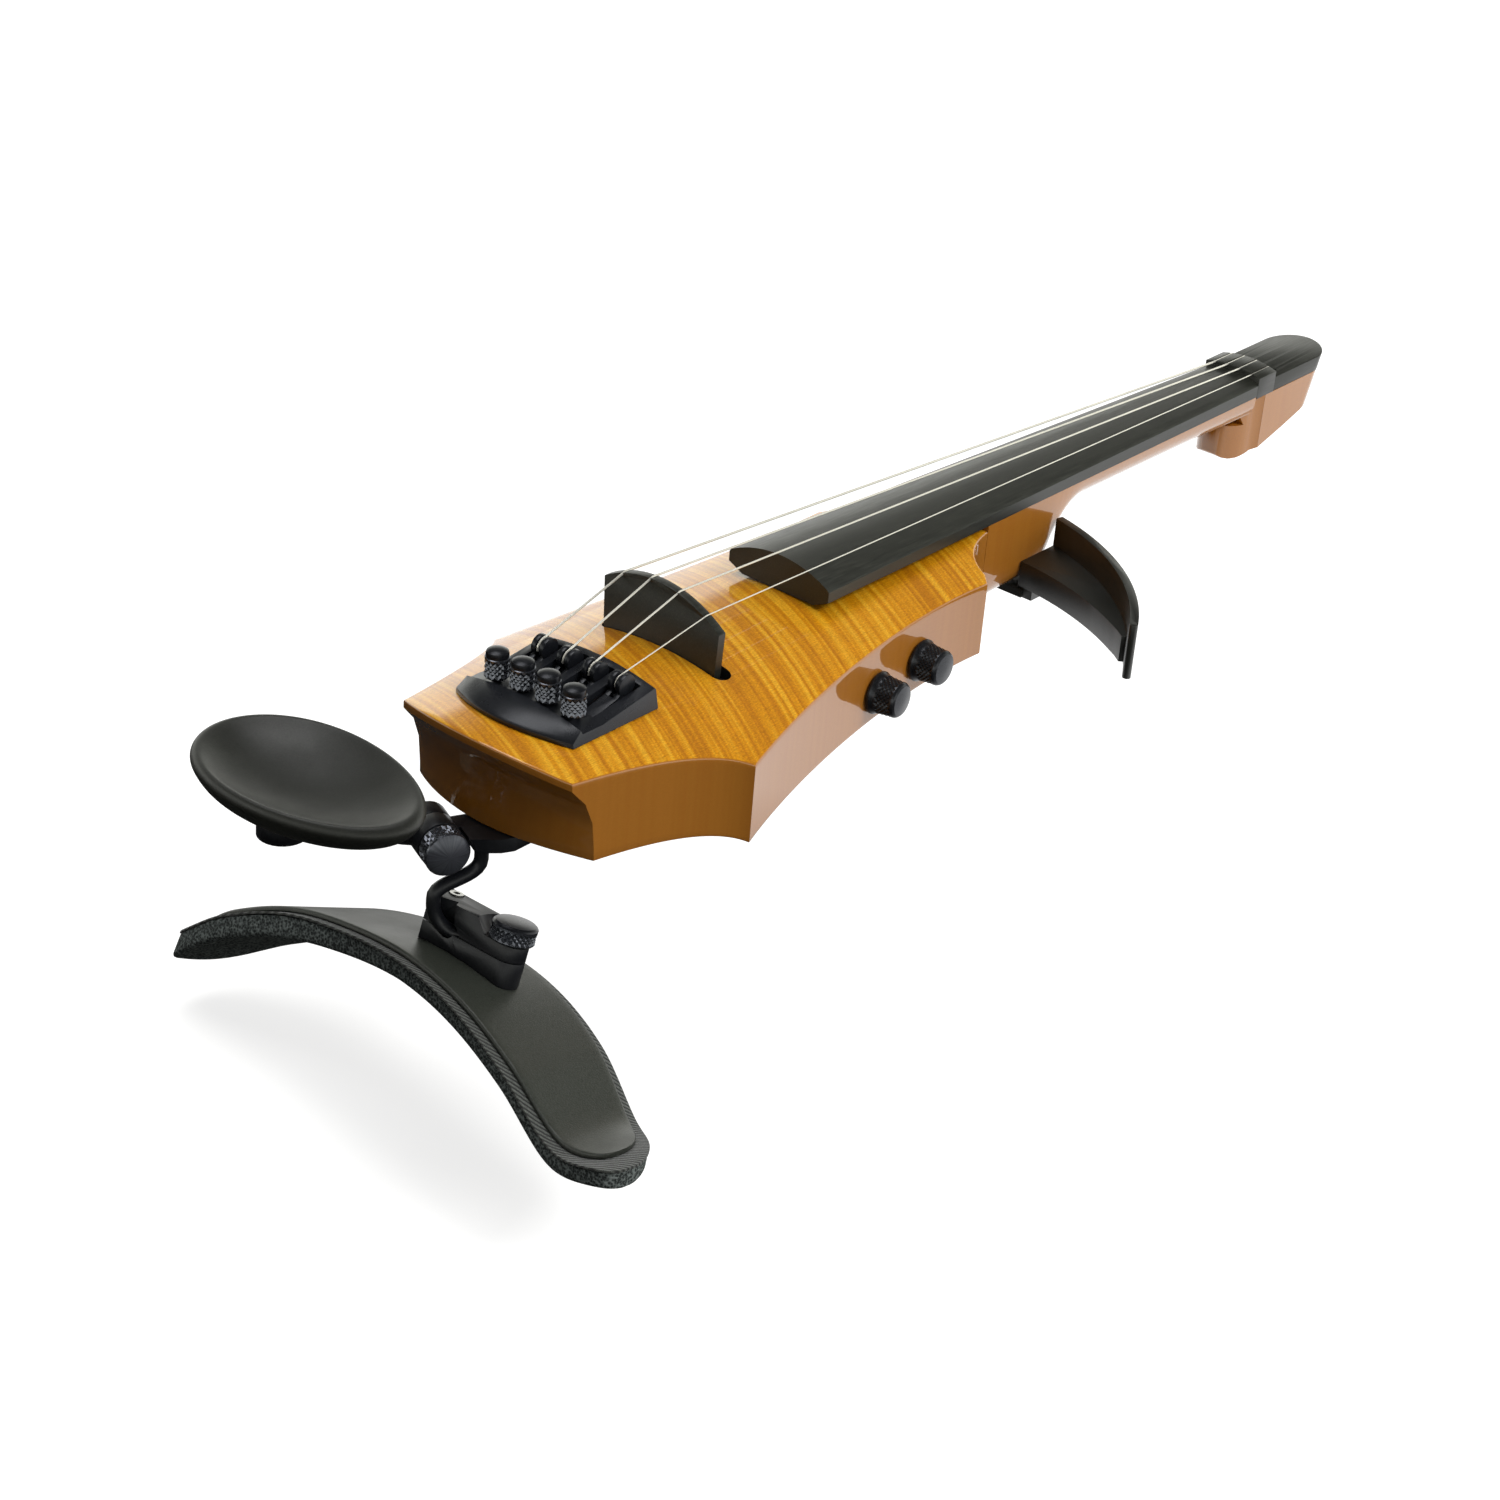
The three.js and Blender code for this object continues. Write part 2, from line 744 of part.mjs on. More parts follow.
const tenonTop = -seatGap;
const tenonStartX = neckJoinX - tenonLength;
const tunerYs = stringNames.map((_, i) => (1.5 - i) * tunerPitch);
const bothSides = [-1, 1];
const bracketScrews = bothSides.map((side) => [bracketRootX - bracketScrewInset,
  side * bracketScrewHalfSpread]);
const slotCentreX = slotWidth / 2 - slotTailEdge;
const jackFaceY = wallAt(jackX + jackNutRadius, 1).point.y;
const controls = [["volume", volumeX, volumeHeight], ["tone", toneX, toneHeight]];

function makeBody() {
  const blank = overlap(prismZ(bodyOutline(), -2 * bodyThickness, bodyThickness), slab(0));
  const pocketLow = -pocketDepth;
  const tools = [
    tailHollow(),
    slot(slotCentreX, slotWidth, slotHalfLength, -slotDepth, overrun),
    box([frameDeckTailX, -pocketHalfWidth, pocketLow],
      [frameBridgeX - frameWallThickness, pocketHalfWidth, overrun]),
    box([batteryHollowX, -batteryHollowHalfWidth, hollowFloor],
      [batteryEndX, batteryHollowHalfWidth, batteryCeiling]),
    coverRecess(batteryCoverBox, batteryCoverHeight),
    box([controlHollowX, controlHollowTreble, hollowFloor], [controlEndX, controlHollowBass, controlCeiling]),
    coverRecess(controlCoverBox, controlCoverHeight),
    box([tenonStartX - seatGap, -tenonHalfWidth - seatGap, -tenonDepth - seatGap],
      [neckJoinX + overrun, tenonHalfWidth + seatGap, overrun]),
    rod(vector(batteryEndX - overrun, 0, wireHoleHeight), vector(controlHollowX + overrun, 0, wireHoleHeight),
      wireHoleRadius, 16),
    upright(0, pickupHoleY, batteryCeiling - overrun, -slotDepth + overrun, pickupHoleRadius, 12),
    box([tailX - overrun, -bracketHalfWidth - bracketClearance, hollowFloor - overrun],
      [bracketRootX + overrun, bracketHalfWidth + bracketClearance, bracketSeatHeight]),
  ];
  for (const [, x, height] of controls) {
    const { point, out } = wallAt(x, -1);
    const start = point.clone().addScaledVector(out, overrun).setZ(height);
    const end = point.clone().addScaledVector(out, -potHoleDepth).setZ(height);
    tools.push(rod(start, end, bushingRadius + runningGap, 20));
  }
  tools.push(rod(vector(jackX, controlHollowBass - overrun, jackHeight),
    vector(jackX, jackFaceY + overrun, jackHeight),
    jackSleeveRadius + runningGap, 20));
  tools.push(rod(vector(jackX, jackFaceY, jackHeight), vector(jackX, jackFaceY + 3 * overrun, jackHeight),
    jackNutRadius + 2 * seatGap, 24));
  for (const [x, y] of [...batteryScrews, ...controlScrews]) {
    tools.push(screwHole(x, y, hollowFloor, controlCoverHeight + coverScrewLength, coverScrewRadius));
  }
  for (const [x, y] of bracketScrews) {
    tools.push(screwHole(x, y, hollowFloor - overrun, overrun, bracketScrewRadius));
  }
  return cut(blank, ...tools);
}

add("body", makeBody(), maple);

// Fingerboard

const undersideAt = (x) => {
  const share = (x - fingerboardStartX) / (stringLength - fingerboardStartX);
  return THREE.MathUtils.lerp(fingerboardUndersideAtStart, fingerboardUndersideAtNut, share);
};
const edgeTopAt = (x) => {
  const share = (x - fingerboardStartX) / (stringLength - fingerboardStartX);
  return THREE.MathUtils.lerp(fingerboardEdgeAtStart, fingerboardEdgeAtNut, share);
};

function fingerboardRing(x, keel) {
  const half = fingerboardHalfWidth(x);
  const edgeTop = edgeTopAt(x);
  const steps = 12;
  const inner = half - fingerboardEdgeBevel;
  const topAt = (y) => edgeTop + arch(inner, playingRadius) - arch(y, playingRadius);
  const top = Array.from({ length: steps + 1 }, (_, i) => {
    const y = inner - (2 * inner * i) / steps;
    return vector(x, y, topAt(y));
  });
  const foot = Math.min(keelHalfWidth, half - 2 * fingerboardEdgeBevel);
  return [
    vector(x, half, edgeTop - fingerboardEdgeBevel),
    ...top,
    vector(x, -half, edgeTop - fingerboardEdgeBevel),
    vector(x, -half, undersideAt(x)),
    vector(x, -foot, keel),
    vector(x, foot, keel),
    vector(x, half, undersideAt(x)),
  ];
}

function makeFingerboard() {
  const beforeNeck = neckJoinX - seatGap;
  return loft([
    fingerboardRing(fingerboardStartX, keelHeight),
    fingerboardRing(beforeNeck, keelHeight),
    fingerboardRing(neckJoinX, undersideAt(neckJoinX)),
    fingerboardRing(stringLength, undersideAt(stringLength)),
  ]);
}

add("fingerboard", makeFingerboard(), ebony);

// Neck, heel and scroll in one piece

const headTop = headPlateEdge;
const nutEndX = stringLength + nutLength;

function neckRing(x, depth, squareness) {
  const half = neckHalfWidth(x);
  const top = undersideAt(x) - glueGap;
  const steps = 14;
  return Array.from({ length: steps + 1 }, (_, i) => {
    const angle = (Math.PI * i) / steps;
    const across = Math.sign(Math.cos(angle)) * Math.abs(Math.cos(angle)) ** (2 / squareness);
    const down = Math.sin(angle) ** (2 / squareness);
    return vector(x, half * across, top - depth * down);
  });
}

// The scroll seen from the side: its underside sweeps to a rounded nose that hangs under the neck.
const scrollSide = scrollSideShares.map(([along, down]) => [noseX + along * scrollLength,
  -down * scrollDepth]);

// The head seen from above. Its round end leans back towards its foot.
function headPlan(low, high) {
  const centre = headEndX - headEndRound;
  const half = fingerboardNutWidth / 2 - glueGap;
  const shape = new THREE.Shape();
  shape.moveTo(noseX, -half);
  shape.lineTo(nutEndX, -half);
  shape.absellipse(centre, 0, headEndRound, headHalfWidth, -Math.PI / 2, Math.PI / 2, false);
  shape.lineTo(nutEndX, half);
  shape.lineTo(noseX, half);
  const lean = new THREE.Matrix4().makeShear(0, 0, 0, 0, 0, 0);
  lean.elements[8] = headEndSlopeShare;
  return prismZ(shape, low - headTop, high - headTop).applyMatrix4(lean).translate(0, 0, headTop);
}

// The nose seen from above.
function nosePlan(low, high) {
  const shape = new THREE.Shape();
  const half = headHalfWidth + overrun;
  const centre = noseX + noseRound;
  shape.moveTo(headEndX + overrun, half);
  shape.lineTo(centre + noseTaper, half);
  shape.lineTo(centre + noseTaper, headHalfWidth);
  shape.absellipse(centre, 0, noseRound, noseHalfWidth, Math.PI / 2, 1.5 * Math.PI, false);
  shape.lineTo(centre + noseTaper, -headHalfWidth);
  shape.lineTo(centre + noseTaper, -half);
  shape.lineTo(headEndX + overrun, -half);
  return prismZ(shape, low, high);
}

function makeNeck() {
  const rings = [
    neckRing(neckJoinX + seatGap, heelDepth, 9),
    neckRing(heelEndX - heelShoulderLength, heelDepth, 7),
    neckRing(heelEndX - heelEdgeRound, heelDepth - heelEdgeRound, 5),
  ];
  const blendSteps = 6;
  for (let i = 0; i <= blendSteps; i += 1) {
    const share = i / blendSteps;
    const ease = (1 - share) ** 2.4;
    const depth = neckDepth + (heelDepth - heelDrop - neckDepth) * ease;
    rings.push(neckRing(heelEndX + share * heelBlendLength, depth, 2 + 2.5 * ease));
  }
  rings.push(neckRing(stringLength - neckEndFlareLength, neckDepth, 2));
  rings.push(neckRing(stringLength + glueGap, neckDepth, 2.4));
  const scrollTop = headTop - headPlateThickness - glueGap;
  const side = prismY(scrollSide, -fingerboardNutWidth, fingerboardNutWidth);
  const scroll = overlap(overlap(side, headPlan(-2 * scrollDepth, scrollTop)), nosePlan(-2 * scrollDepth, 0));
  const tenon = box([tenonStartX, -tenonHalfWidth, -tenonDepth],
    [neckJoinX + tenonRootLength, tenonHalfWidth, tenonTop]);
  return join(loft(rings), scroll, tenon);
}

add("neck", makeNeck(), maple);

// Head plate and nut

function crownedBlock(lowX, highX, edgeHeight, crown, reach, floor) {
  const steps = 12;
  const across = Array.from({ length: steps + 1 }, (_, i) => reach - (2 * reach * i) / steps);
  const radius = (reach * reach + crown * crown) / (2 * crown);
  const top = across.map((y) => [y, edgeHeight + crown - arch(y, radius)]);
  return prismX([...top, [-reach, floor], [reach, floor]], lowX, highX);
}

const stringRadii = stringRadiusShares.map((share) => share * thickestStringRadius);
const nutYs = stringNames.map((_, i) => (0.5 - i / 3) * stringSpreadAtNut);
const bridgeYs = stringNames.map((_, i) => (0.5 - i / 3) * stringSpreadAtBridge);
const nutStringHeight = (y) => stringHeightAtNut - arch(y, playingRadius);
const bridgeStringHeight = (y) =>
  stringHeightAtBridge - arch(y, playingRadius) + (2 * bassSideLift * y) / stringSpreadAtBridge;

function makeHeadPlate() {
  const floor = headTop - headPlateThickness;
  const crowned = crownedBlock(nutEndX + seatGap, headEndX + overrun, headTop, headPlateCrown,
    headHalfWidth, floor);
  const plate = overlap(crowned, headPlan(floor, headTop + 2 * headPlateCrown));
  const slots = nutYs.map((y) => box([nutEndX - overrun, y - headSlotWidth / 2, headTop - headSlotDepth],
    [nutEndX + headSlotLength, y + headSlotWidth / 2, headTop + 2 * headPlateCrown]));
  return cut(plate, ...slots);
}

function makeNut() {
  const half = fingerboardNutWidth / 2;
  const floor = headTop - headPlateThickness;
  const edge = stringHeightAtNut - arch(half, playingRadius) + nutRise;
  const block = crownedBlock(stringLength + glueGap, nutEndX, edge, arch(half, playingRadius), half, floor);
  const slots = nutYs.map((y, i) => box(
    [stringLength - overrun, y - stringRadii[i] - runningGap,
    nutStringHeight(y) - stringRadii[i] - runningGap],
    [nutEndX + overrun, y + stringRadii[i] + runningGap, stringHeightAtBridge]));
  return cut(block, ...slots);
}

add("head_plate", makeHeadPlate(), ebony);
add("nut", makeNut(), ebony);

// Strings, from the slots behind the nut, over the bridge, to the tuner rollers

const stringRadiusOnRoller = (i) => grooveRadius + runningGap + stringRadii[i];

function stringRoute(i) {
  const rollerY = tunerYs[i];
  const nutHeight = nutStringHeight(nutYs[i]);
  const bridgePoint = vector(0, bridgeYs[i], bridgeStringHeight(bridgeYs[i]));
  const route = [
    vector(nutEndX + headSlotLength - stringEndClearance, nutYs[i], headTop - stringEndDepth),
    vector(nutEndX + seatGap, nutYs[i], nutHeight),
    vector(stringLength, nutYs[i], nutHeight),
    bridgePoint,
  ];
  const wrap = stringRadiusOnRoller(i);
  const fall = Math.atan2(bridgePoint.z - rollerHeight - wrap, -rollerX);
  const steps = 6;
  for (let k = 0; k <= steps; k += 1) {
    const angle = Math.PI / 2 + fall + ((radians(84) * k) / steps);
    route.push(vector(rollerX + wrap * Math.cos(angle), rollerY, rollerHeight + wrap * Math.sin(angle)));
  }
  return route;
}

stringNames.forEach((name, i) => {
  add(`string_${name}`, sweep(stringRoute(i), () => circle(stringRadii[i], 6)), steel);
});

// Bridge and the pickup strip under it

function makeBridge() {
  const floor = -slotDepth + pickupHeight + 2 * glueGap;
  const steps = 18;
  const width = bridgeBassHalfWidth + bridgeTrebleHalfWidth;
  const top = Array.from({ length: steps + 1 }, (_, i) => {
    const y = bridgeBassHalfWidth - (width * i) / steps;
    return [y, bridgeStringHeight(y)];
  });
  const points = [...top, [-bridgeTrebleHalfWidth + bridgeFootInset, floor],
    [bridgeBassHalfWidth - bridgeFootInset, floor]];
  const plate = prismX(points, -bridgeThickness / 2, bridgeThickness / 2);
  const notches = stringNames.map((_, i) => {
    const route = stringRoute(i).slice(2, 5);
    return sweep(route, () => circle(stringRadii[i] + glueGap, 8));
  });
  return cut(plate, ...notches);
}

add("bridge", makeBridge(), ebony);
add("bridge_pickup", box([-bridgeThickness / 2, -bridgeTrebleHalfWidth + pickupInset, -slotDepth + glueGap],
  [bridgeThickness / 2, bridgeTrebleHalfWidth - pickupInset, -slotDepth + glueGap + pickupHeight]),
  blackMetal);

// Tailpiece frame

// Side profile of the frame, carried across the arch of the top.
function makeTailpieceFrame() {
  const foot = seatGap;
  const profile = [
    [frameTailX, foot], [frameTailX, foot + frameFootHeight], [frameTailX + frameNoseRun, frameNoseHeight],
    [frameDeckTailX, frameRidgeHeight], [frameDeckTailX + frameRidgeRun, frameDeckHeight],
    [frameDeckEndX, frameDeckHeight], [frameBridgeX - frameEdgeBevel, frameWallHeight],
    [frameBridgeX, frameWallHeight - frameEdgeBevel], [frameBridgeX, foot]];
  const stations = 10;
  const rings = Array.from({ length: stations + 1 }, (_, i) => {
    const share = (2 * i) / stations - 1;
    return profile.map(([x, z]) => {
      const bow = x < frameDeckTailX ? frameBow * share * share : 0;
      const half = frameHalfWidth - (frameDraft * (z - foot)) / (frameWallHeight - foot);
      return vector(x + bow, share * half, z - arch(share * frameHalfWidth, topArchRadius));
    });
  });
  const tools = [];
  for (const y of tunerYs) {
    const low = y - channelWidth / 2;
    const high = y + channelWidth / 2;
    const under = frameDeckHeight - deckThickness - arch(y, topArchRadius);
    tools.push(box([frameDeckEndX, low, -overrun],
      [frameBridgeX - frameWallThickness, high, 3 * frameWallHeight]));
    tools.push(box([frameDeckTailX + frameDeckRun, low, -pocketDepth],
      [frameDeckEndX + overrun, high, under]));
    tools.push(upright(tunerKnobX, y, -overrun, 2 * frameDeckHeight, tunerScrewRadius + runningGap, 12));
  }
  const axleReach = frameHalfWidth - frameWallThickness / 2;
  tools.push(rod(vector(pivotX, -axleReach, pivotHeight), vector(pivotX, axleReach, pivotHeight),
    pivotRadius + runningGap / 2, 10));
  for (const [x, y] of bracketScrews) {
    tools.push(screwHole(x, y, -overrun, bracketScrewReach + seatGap, bracketScrewRadius));
  }
  return cut(loft(rings), ...tools);
}

add("tailpiece_frame", makeTailpieceFrame(), blackMetal);

const axleHalf = frameHalfWidth - frameWallThickness / 2 - seatGap;
add("tuner_axle", rod(vector(pivotX, -axleHalf, pivotHeight), vector(pivotX, axleHalf, pivotHeight),
  pivotRadius, 10), blackMetal);

// Tuners: a lever that carries the string on a grooved head, and the knob that draws its tail

function makeTunerLever(y) {
  const half = leverWidth / 2;
  const tailEndX = tunerKnobX - leverTailReach;
  const arm = prismY([
    [rollerX + leverNeckFront, rollerHeight - leverNeckDrop],
    [rollerX + leverHeelFront, pivotHeight - leverHeelDrop],
    [pivotX - leverFootBack, pivotHeight - leverFootDrop],
    [tunerKnobX + leverTailStart, leverTailTop - leverTailThickness],
    [tailEndX, leverTailTop - leverTailThickness],
    [tailEndX, leverTailTop], [tunerKnobX + leverTailRise, leverTailTop],
    [pivotX - leverBackReach, pivotHeight + leverBackRise],
    [rollerX - leverShoulderBack, rollerHeight - leverShoulderDrop]], y - half, y + half);
  const head = rod(vector(rollerX, y - half, rollerHeight), vector(rollerX, y + half, rollerHeight),
    rollerFlangeRadius, 18);
  const ringSection = [
    [grooveRadius, -grooveWidth / 2], [rollerFlangeRadius + overrun, -grooveWidth / 2],
    [rollerFlangeRadius + overrun, grooveWidth / 2], [grooveRadius, grooveWidth / 2],
    [grooveRadius, -grooveWidth / 2]];
  const groove = aim(turned(ringSection, 18), vector(rollerX, y, rollerHeight), vector(0, 1, 0));
  const bore = rod(vector(pivotX, y - half - overrun, pivotHeight),
    vector(pivotX, y + half + overrun, pivotHeight),
    pivotRadius + runningGap / 2, 10);
  return cut(join(arm, head), groove, bore);
}

function makeTunerKnob(y) {
  const base = frameDeckHeight - arch(Math.max(Math.abs(y) - tunerKnobRadius, 0), topArchRadius) + seatGap;
  const screwEnd = leverTailTop + seatGap - base;
  const profile = [
    [0, screwEnd], [tunerScrewRadius, screwEnd], [tunerScrewRadius, 0], [tunerKnobRadius - knobFootBevel, 0],
    [tunerKnobRadius, knobFootBevel], [tunerKnobRadius, tunerKnobHeight - tunerKnobDome - tunerKnobEdge],
    [tunerKnobRadius - tunerKnobEdge, tunerKnobHeight - tunerKnobDome],
    [tunerKnobRadius * 0.6, tunerKnobHeight - tunerKnobDome * 0.3],
    [0, tunerKnobHeight]];
  return turned(profile, 18).translate(tunerKnobX, y, base);
}

stringNames.forEach((name, i) => {
  add(`tuner_lever_${name}`, makeTunerLever(tunerYs[i]), blackMetal);
  add(`tuner_knob_${name}`, makeTunerKnob(tunerYs[i]), blackMetal);
});

// Volume and tone controls, square to the treble wall

for (const [name, x, height] of controls) {
  const { point, out } = wallAt(x, -1);
  const wall = point.clone().setZ(height);
  const wallDepth = Math.abs(point.y - controlHollowTreble) + seatGap + potSetback;
  const flange = seatGap + bushingFree;
  const knob = [
    [shaftRadius + runningGap, flange], [controlFlangeRadius, flange],
    [controlFlangeRadius, flange + controlFlangeThickness],
    [controlKnobRadius + controlKnobFlare, flange + controlNeckHeight],
    [controlKnobRadius - controlKnobTaper, controlKnobLength - controlShoulderLength],
    [controlKnobRadius - controlFaceInset, controlKnobLength - controlFaceDrop],
    [0, controlKnobLength + controlFaceCrown],
    [0, controlKnobLength - controlKnobCap], [shaftRadius + runningGap, controlKnobLength - controlKnobCap],
    [shaftRadius + runningGap, flange]];
  add(`${name}_knob`, aim(turned(knob, 26), wall, out), blackPlastic);
  const shaftStart = wall.clone().addScaledVector(out, bushingFree + seatGap);
  const shaftEnd = wall.clone().addScaledVector(out, controlKnobLength - controlKnobCap - seatGap);
  add(`${name}_shaft`, rod(shaftStart, shaftEnd, shaftRadius, 14), steel);
  const pot = [
    [0, -wallDepth - potDepth], [potRadius, -wallDepth - potDepth], [potRadius, -wallDepth],
    [bushingRadius, -wallDepth], [bushingRadius, bushingFree], [0, bushingFree]];
  add(`${name}_pot`, aim(turned(pot, 16), wall, out), steel);
}

// Preamplifier, battery and output jack

function makePreampBoard() {
  const top = controlCeiling - seatGap;
  const low = top - boardThickness;
  const startX = controlHollowX + boardTailGap;
  const length = controlEndX - boardNeckGap - startX;
  const width = boardBassY - boardTrebleY;
  const board = box([startX, boardTrebleY, low], [startX + length, boardBassY, top]);
  const chips = chipShares.map(([x0, y0, x1, y1]) => box(
    [startX + x0 * length, boardTrebleY + y0 * width, low - chipHeight],
    [startX + x1 * length, boardTrebleY + y1 * width, low + chipSink]));
  return join(board, ...chips);
}

add("preamp_board", makePreampBoard(), circuitGreen);

function makeBattery() {
  const top = batteryCeiling - seatGap;
  const startX = batteryHollowX + batteryEndGap;
  const shellEndX = startX + batteryLength - studLength;
  const shell = box([startX, -batteryWidth / 2, top - batteryHeight], [shellEndX, batteryWidth / 2, top]);
  const studs = bothSides.map((side) => rod(
    vector(shellEndX - studSink, side * studHalfSpread, top - batteryHeight / 2),
    vector(startX + batteryLength, side * studHalfSpread, top - batteryHeight / 2), studRadius, 16));
  return join(shell, ...studs);
}

add("battery", makeBattery(), batteryGrey);

const jackPlace = vector(jackX, jackFaceY, jackHeight);
const jackProfile = [
  [0, -jackLength], [jackSleeveRadius, -jackLength], [jackSleeveRadius, jackNutThickness + 2 * seatGap],
  [jackBoreRadius, jackNutThickness + 2 * seatGap], [jackBoreRadius, -jackLength + jackEndThickness],
  [0, -jackLength + jackEndThickness]];
add("output_jack", aim(turned(jackProfile, 20), jackPlace, vector(0, 1, 0)), blackMetal);

// A six-sided nut about a point on its axis.
function hexNut(place, direction, radius, bore, low, high) {
  const block = turned([[0, low], [radius, low], [radius, high], [0, high]], 6);
  const hole = upright(0, 0, low - overrun, high + overrun, bore, 20);
  return aim(cut(block, hole), place, direction);
}

add("jack_nut", hexNut(jackPlace, vector(0, 1, 0), jackNutRadius, jackSleeveRadius + runningGap,
  seatGap, jackNutThickness), blackMetal);

// Covers in the back and their screws

function makeCover([lowX, lowY, highX, highY], height, screws) {
  const plate = box([lowX + seatGap, lowY + seatGap, height],
    [highX - seatGap, highY - seatGap, coverTop(height)]);
  const holes = screws.map(([x, y]) => screwHole(x, y, height - overrun, 0, coverScrewRadius));
  const recesses = screws.map(([x, y]) =>
    upright(x, y, height - overrun, height + coverScrewHeadHeight, coverScrewHeadRadius + runningGap, 12));
  return cut(plate, ...holes, ...recesses);
}

add("battery_cover", makeCover(batteryCoverBox, batteryCoverHeight, batteryScrews), blackPlastic);
add("control_cover", makeCover(controlCoverBox, controlCoverHeight, controlScrews), blackPlastic);

const coverScrew = (x, y, height) =>
  screwUp(x, y, height - coverScrewProud, coverScrewHeadRadius, coverScrewHeadHeight, coverScrewRadius,
    coverScrewLength - coverScrewEndGap);
batteryScrews.forEach(([x, y], i) => {
  add(`battery_cover_screw_${i + 1}`, coverScrew(x, y, batteryCoverHeight), steel);
});
controlScrews.forEach(([x, y], i) => {
  add(`control_cover_screw_${i + 1}`, coverScrew(x, y, controlCoverHeight), steel);
});

// Tail bracket

const clampCentre = vector(clampX, clampY, clampHeight);
const clampOut = vector(-Math.cos(radians(clampYaw)), -Math.sin(radians(clampYaw)), 0);
const clampPoint = (distance) => clampCentre.clone().addScaledVector(clampOut, distance);
const clampBore = (radius) => rod(clampPoint(-3 * lugThickness), clampPoint(3 * lugThickness), radius, 14);

function makeBracket() {
  const top = bracketSeatHeight - seatGap;
  const low = top - bracketThickness;
  const outline = shapeOf([
    [bracketRootX, bracketHalfWidth - bracketCorner], [bracketRootX, -bracketHalfWidth + bracketCorner],
    [bracketRootX - bracketCorner, -bracketHalfWidth], [bracketTipX + bracketShoulderRun, -bracketHalfWidth],
    ...bracketHornShares.map(([out, across]) => [bracketTipX - out * bracketHornLength,
    across * bracketHalfWidth]),
    [bracketRootX - bracketCorner, bracketHalfWidth]]);
  const plate = prismZ(outline, low, top);
  const behindLug = rod(clampPoint(-3 * lugThickness), clampPoint(seatGap / 2), 2 * lugRadius, 28);
  const lug = rod(clampPoint(seatGap / 2), clampPoint(lugThickness), lugRadius, 28);
  const sockets = bracketScrews.map(([x, y]) => upright(x, y, low - overrun, low + bracketScrewSink,
    bracketScrewHeadRadius + runningGap, 14));
  const holes = bracketScrews.map(([x, y]) => screwHole(x, y, low - overrun, 0, bracketScrewRadius));
  const rodBore = upright(rodTopX, rodTopY, low - overrun, rodTopHeight + seatGap, rodRadius + runningGap,
    16);
  const knobClear = rod(clampPoint(lugThickness), clampPoint(4 * lugThickness),
    clampKnobRadius + clampKnobClearance, 28);
  const plateOnly = cut(plate, behindLug, knobClear);
  return cut(join(plateOnly, lug), clampBore(clampBoltRadius + runningGap), rodBore, ...sockets, ...holes);
}

add("tail_bracket", makeBracket(), blackMetal);

// Two long screws run up through the body and hold the tail bracket and the tailpiece frame together.
bracketScrews.forEach(([x, y], i) => {
  const face = bracketSeatHeight - seatGap - bracketThickness + bracketScrewSet;
  add(`bracket_screw_${i + 1}`, screwUp(x, y, face, bracketScrewHeadRadius, bracketScrewHeadHeight,
    bracketScrewRadius, bracketScrewReach - face), steel);
});

// Clamp knob with its bolt, and the nut on the far side

function makeClampKnob() {
  const start = lugThickness + seatGap;
  const end = start + clampKnobLength;
  const profile = [
    [0, -lugThickness - clampBoltEnd], [clampBoltRadius, -lugThickness - clampBoltEnd],
    [clampBoltRadius, start],
    [clampKnobRadius - knobFaceBevel, start], [clampKnobRadius, start + knobFaceBevel],
    [clampKnobRadius, end - clampKnobShoulder],
    [clampKnobRadius - clampKnobFaceInset, end - clampKnobFaceDrop],
    [clampKnobRadius * 0.6, end + clampKnobCrown / 2], [0, end + clampKnobCrown]];
  return aim(turned(profile, 26), clampCentre, clampOut);
}

add("clamp_knob", makeClampKnob(), blackMetal);

add("clamp_nut", hexNut(clampCentre, clampOut, clampNutRadius, clampBoltRadius + runningGap,
  -lugThickness - clampNutReach, -lugThickness - seatGap), steel);

// Chin rest arm

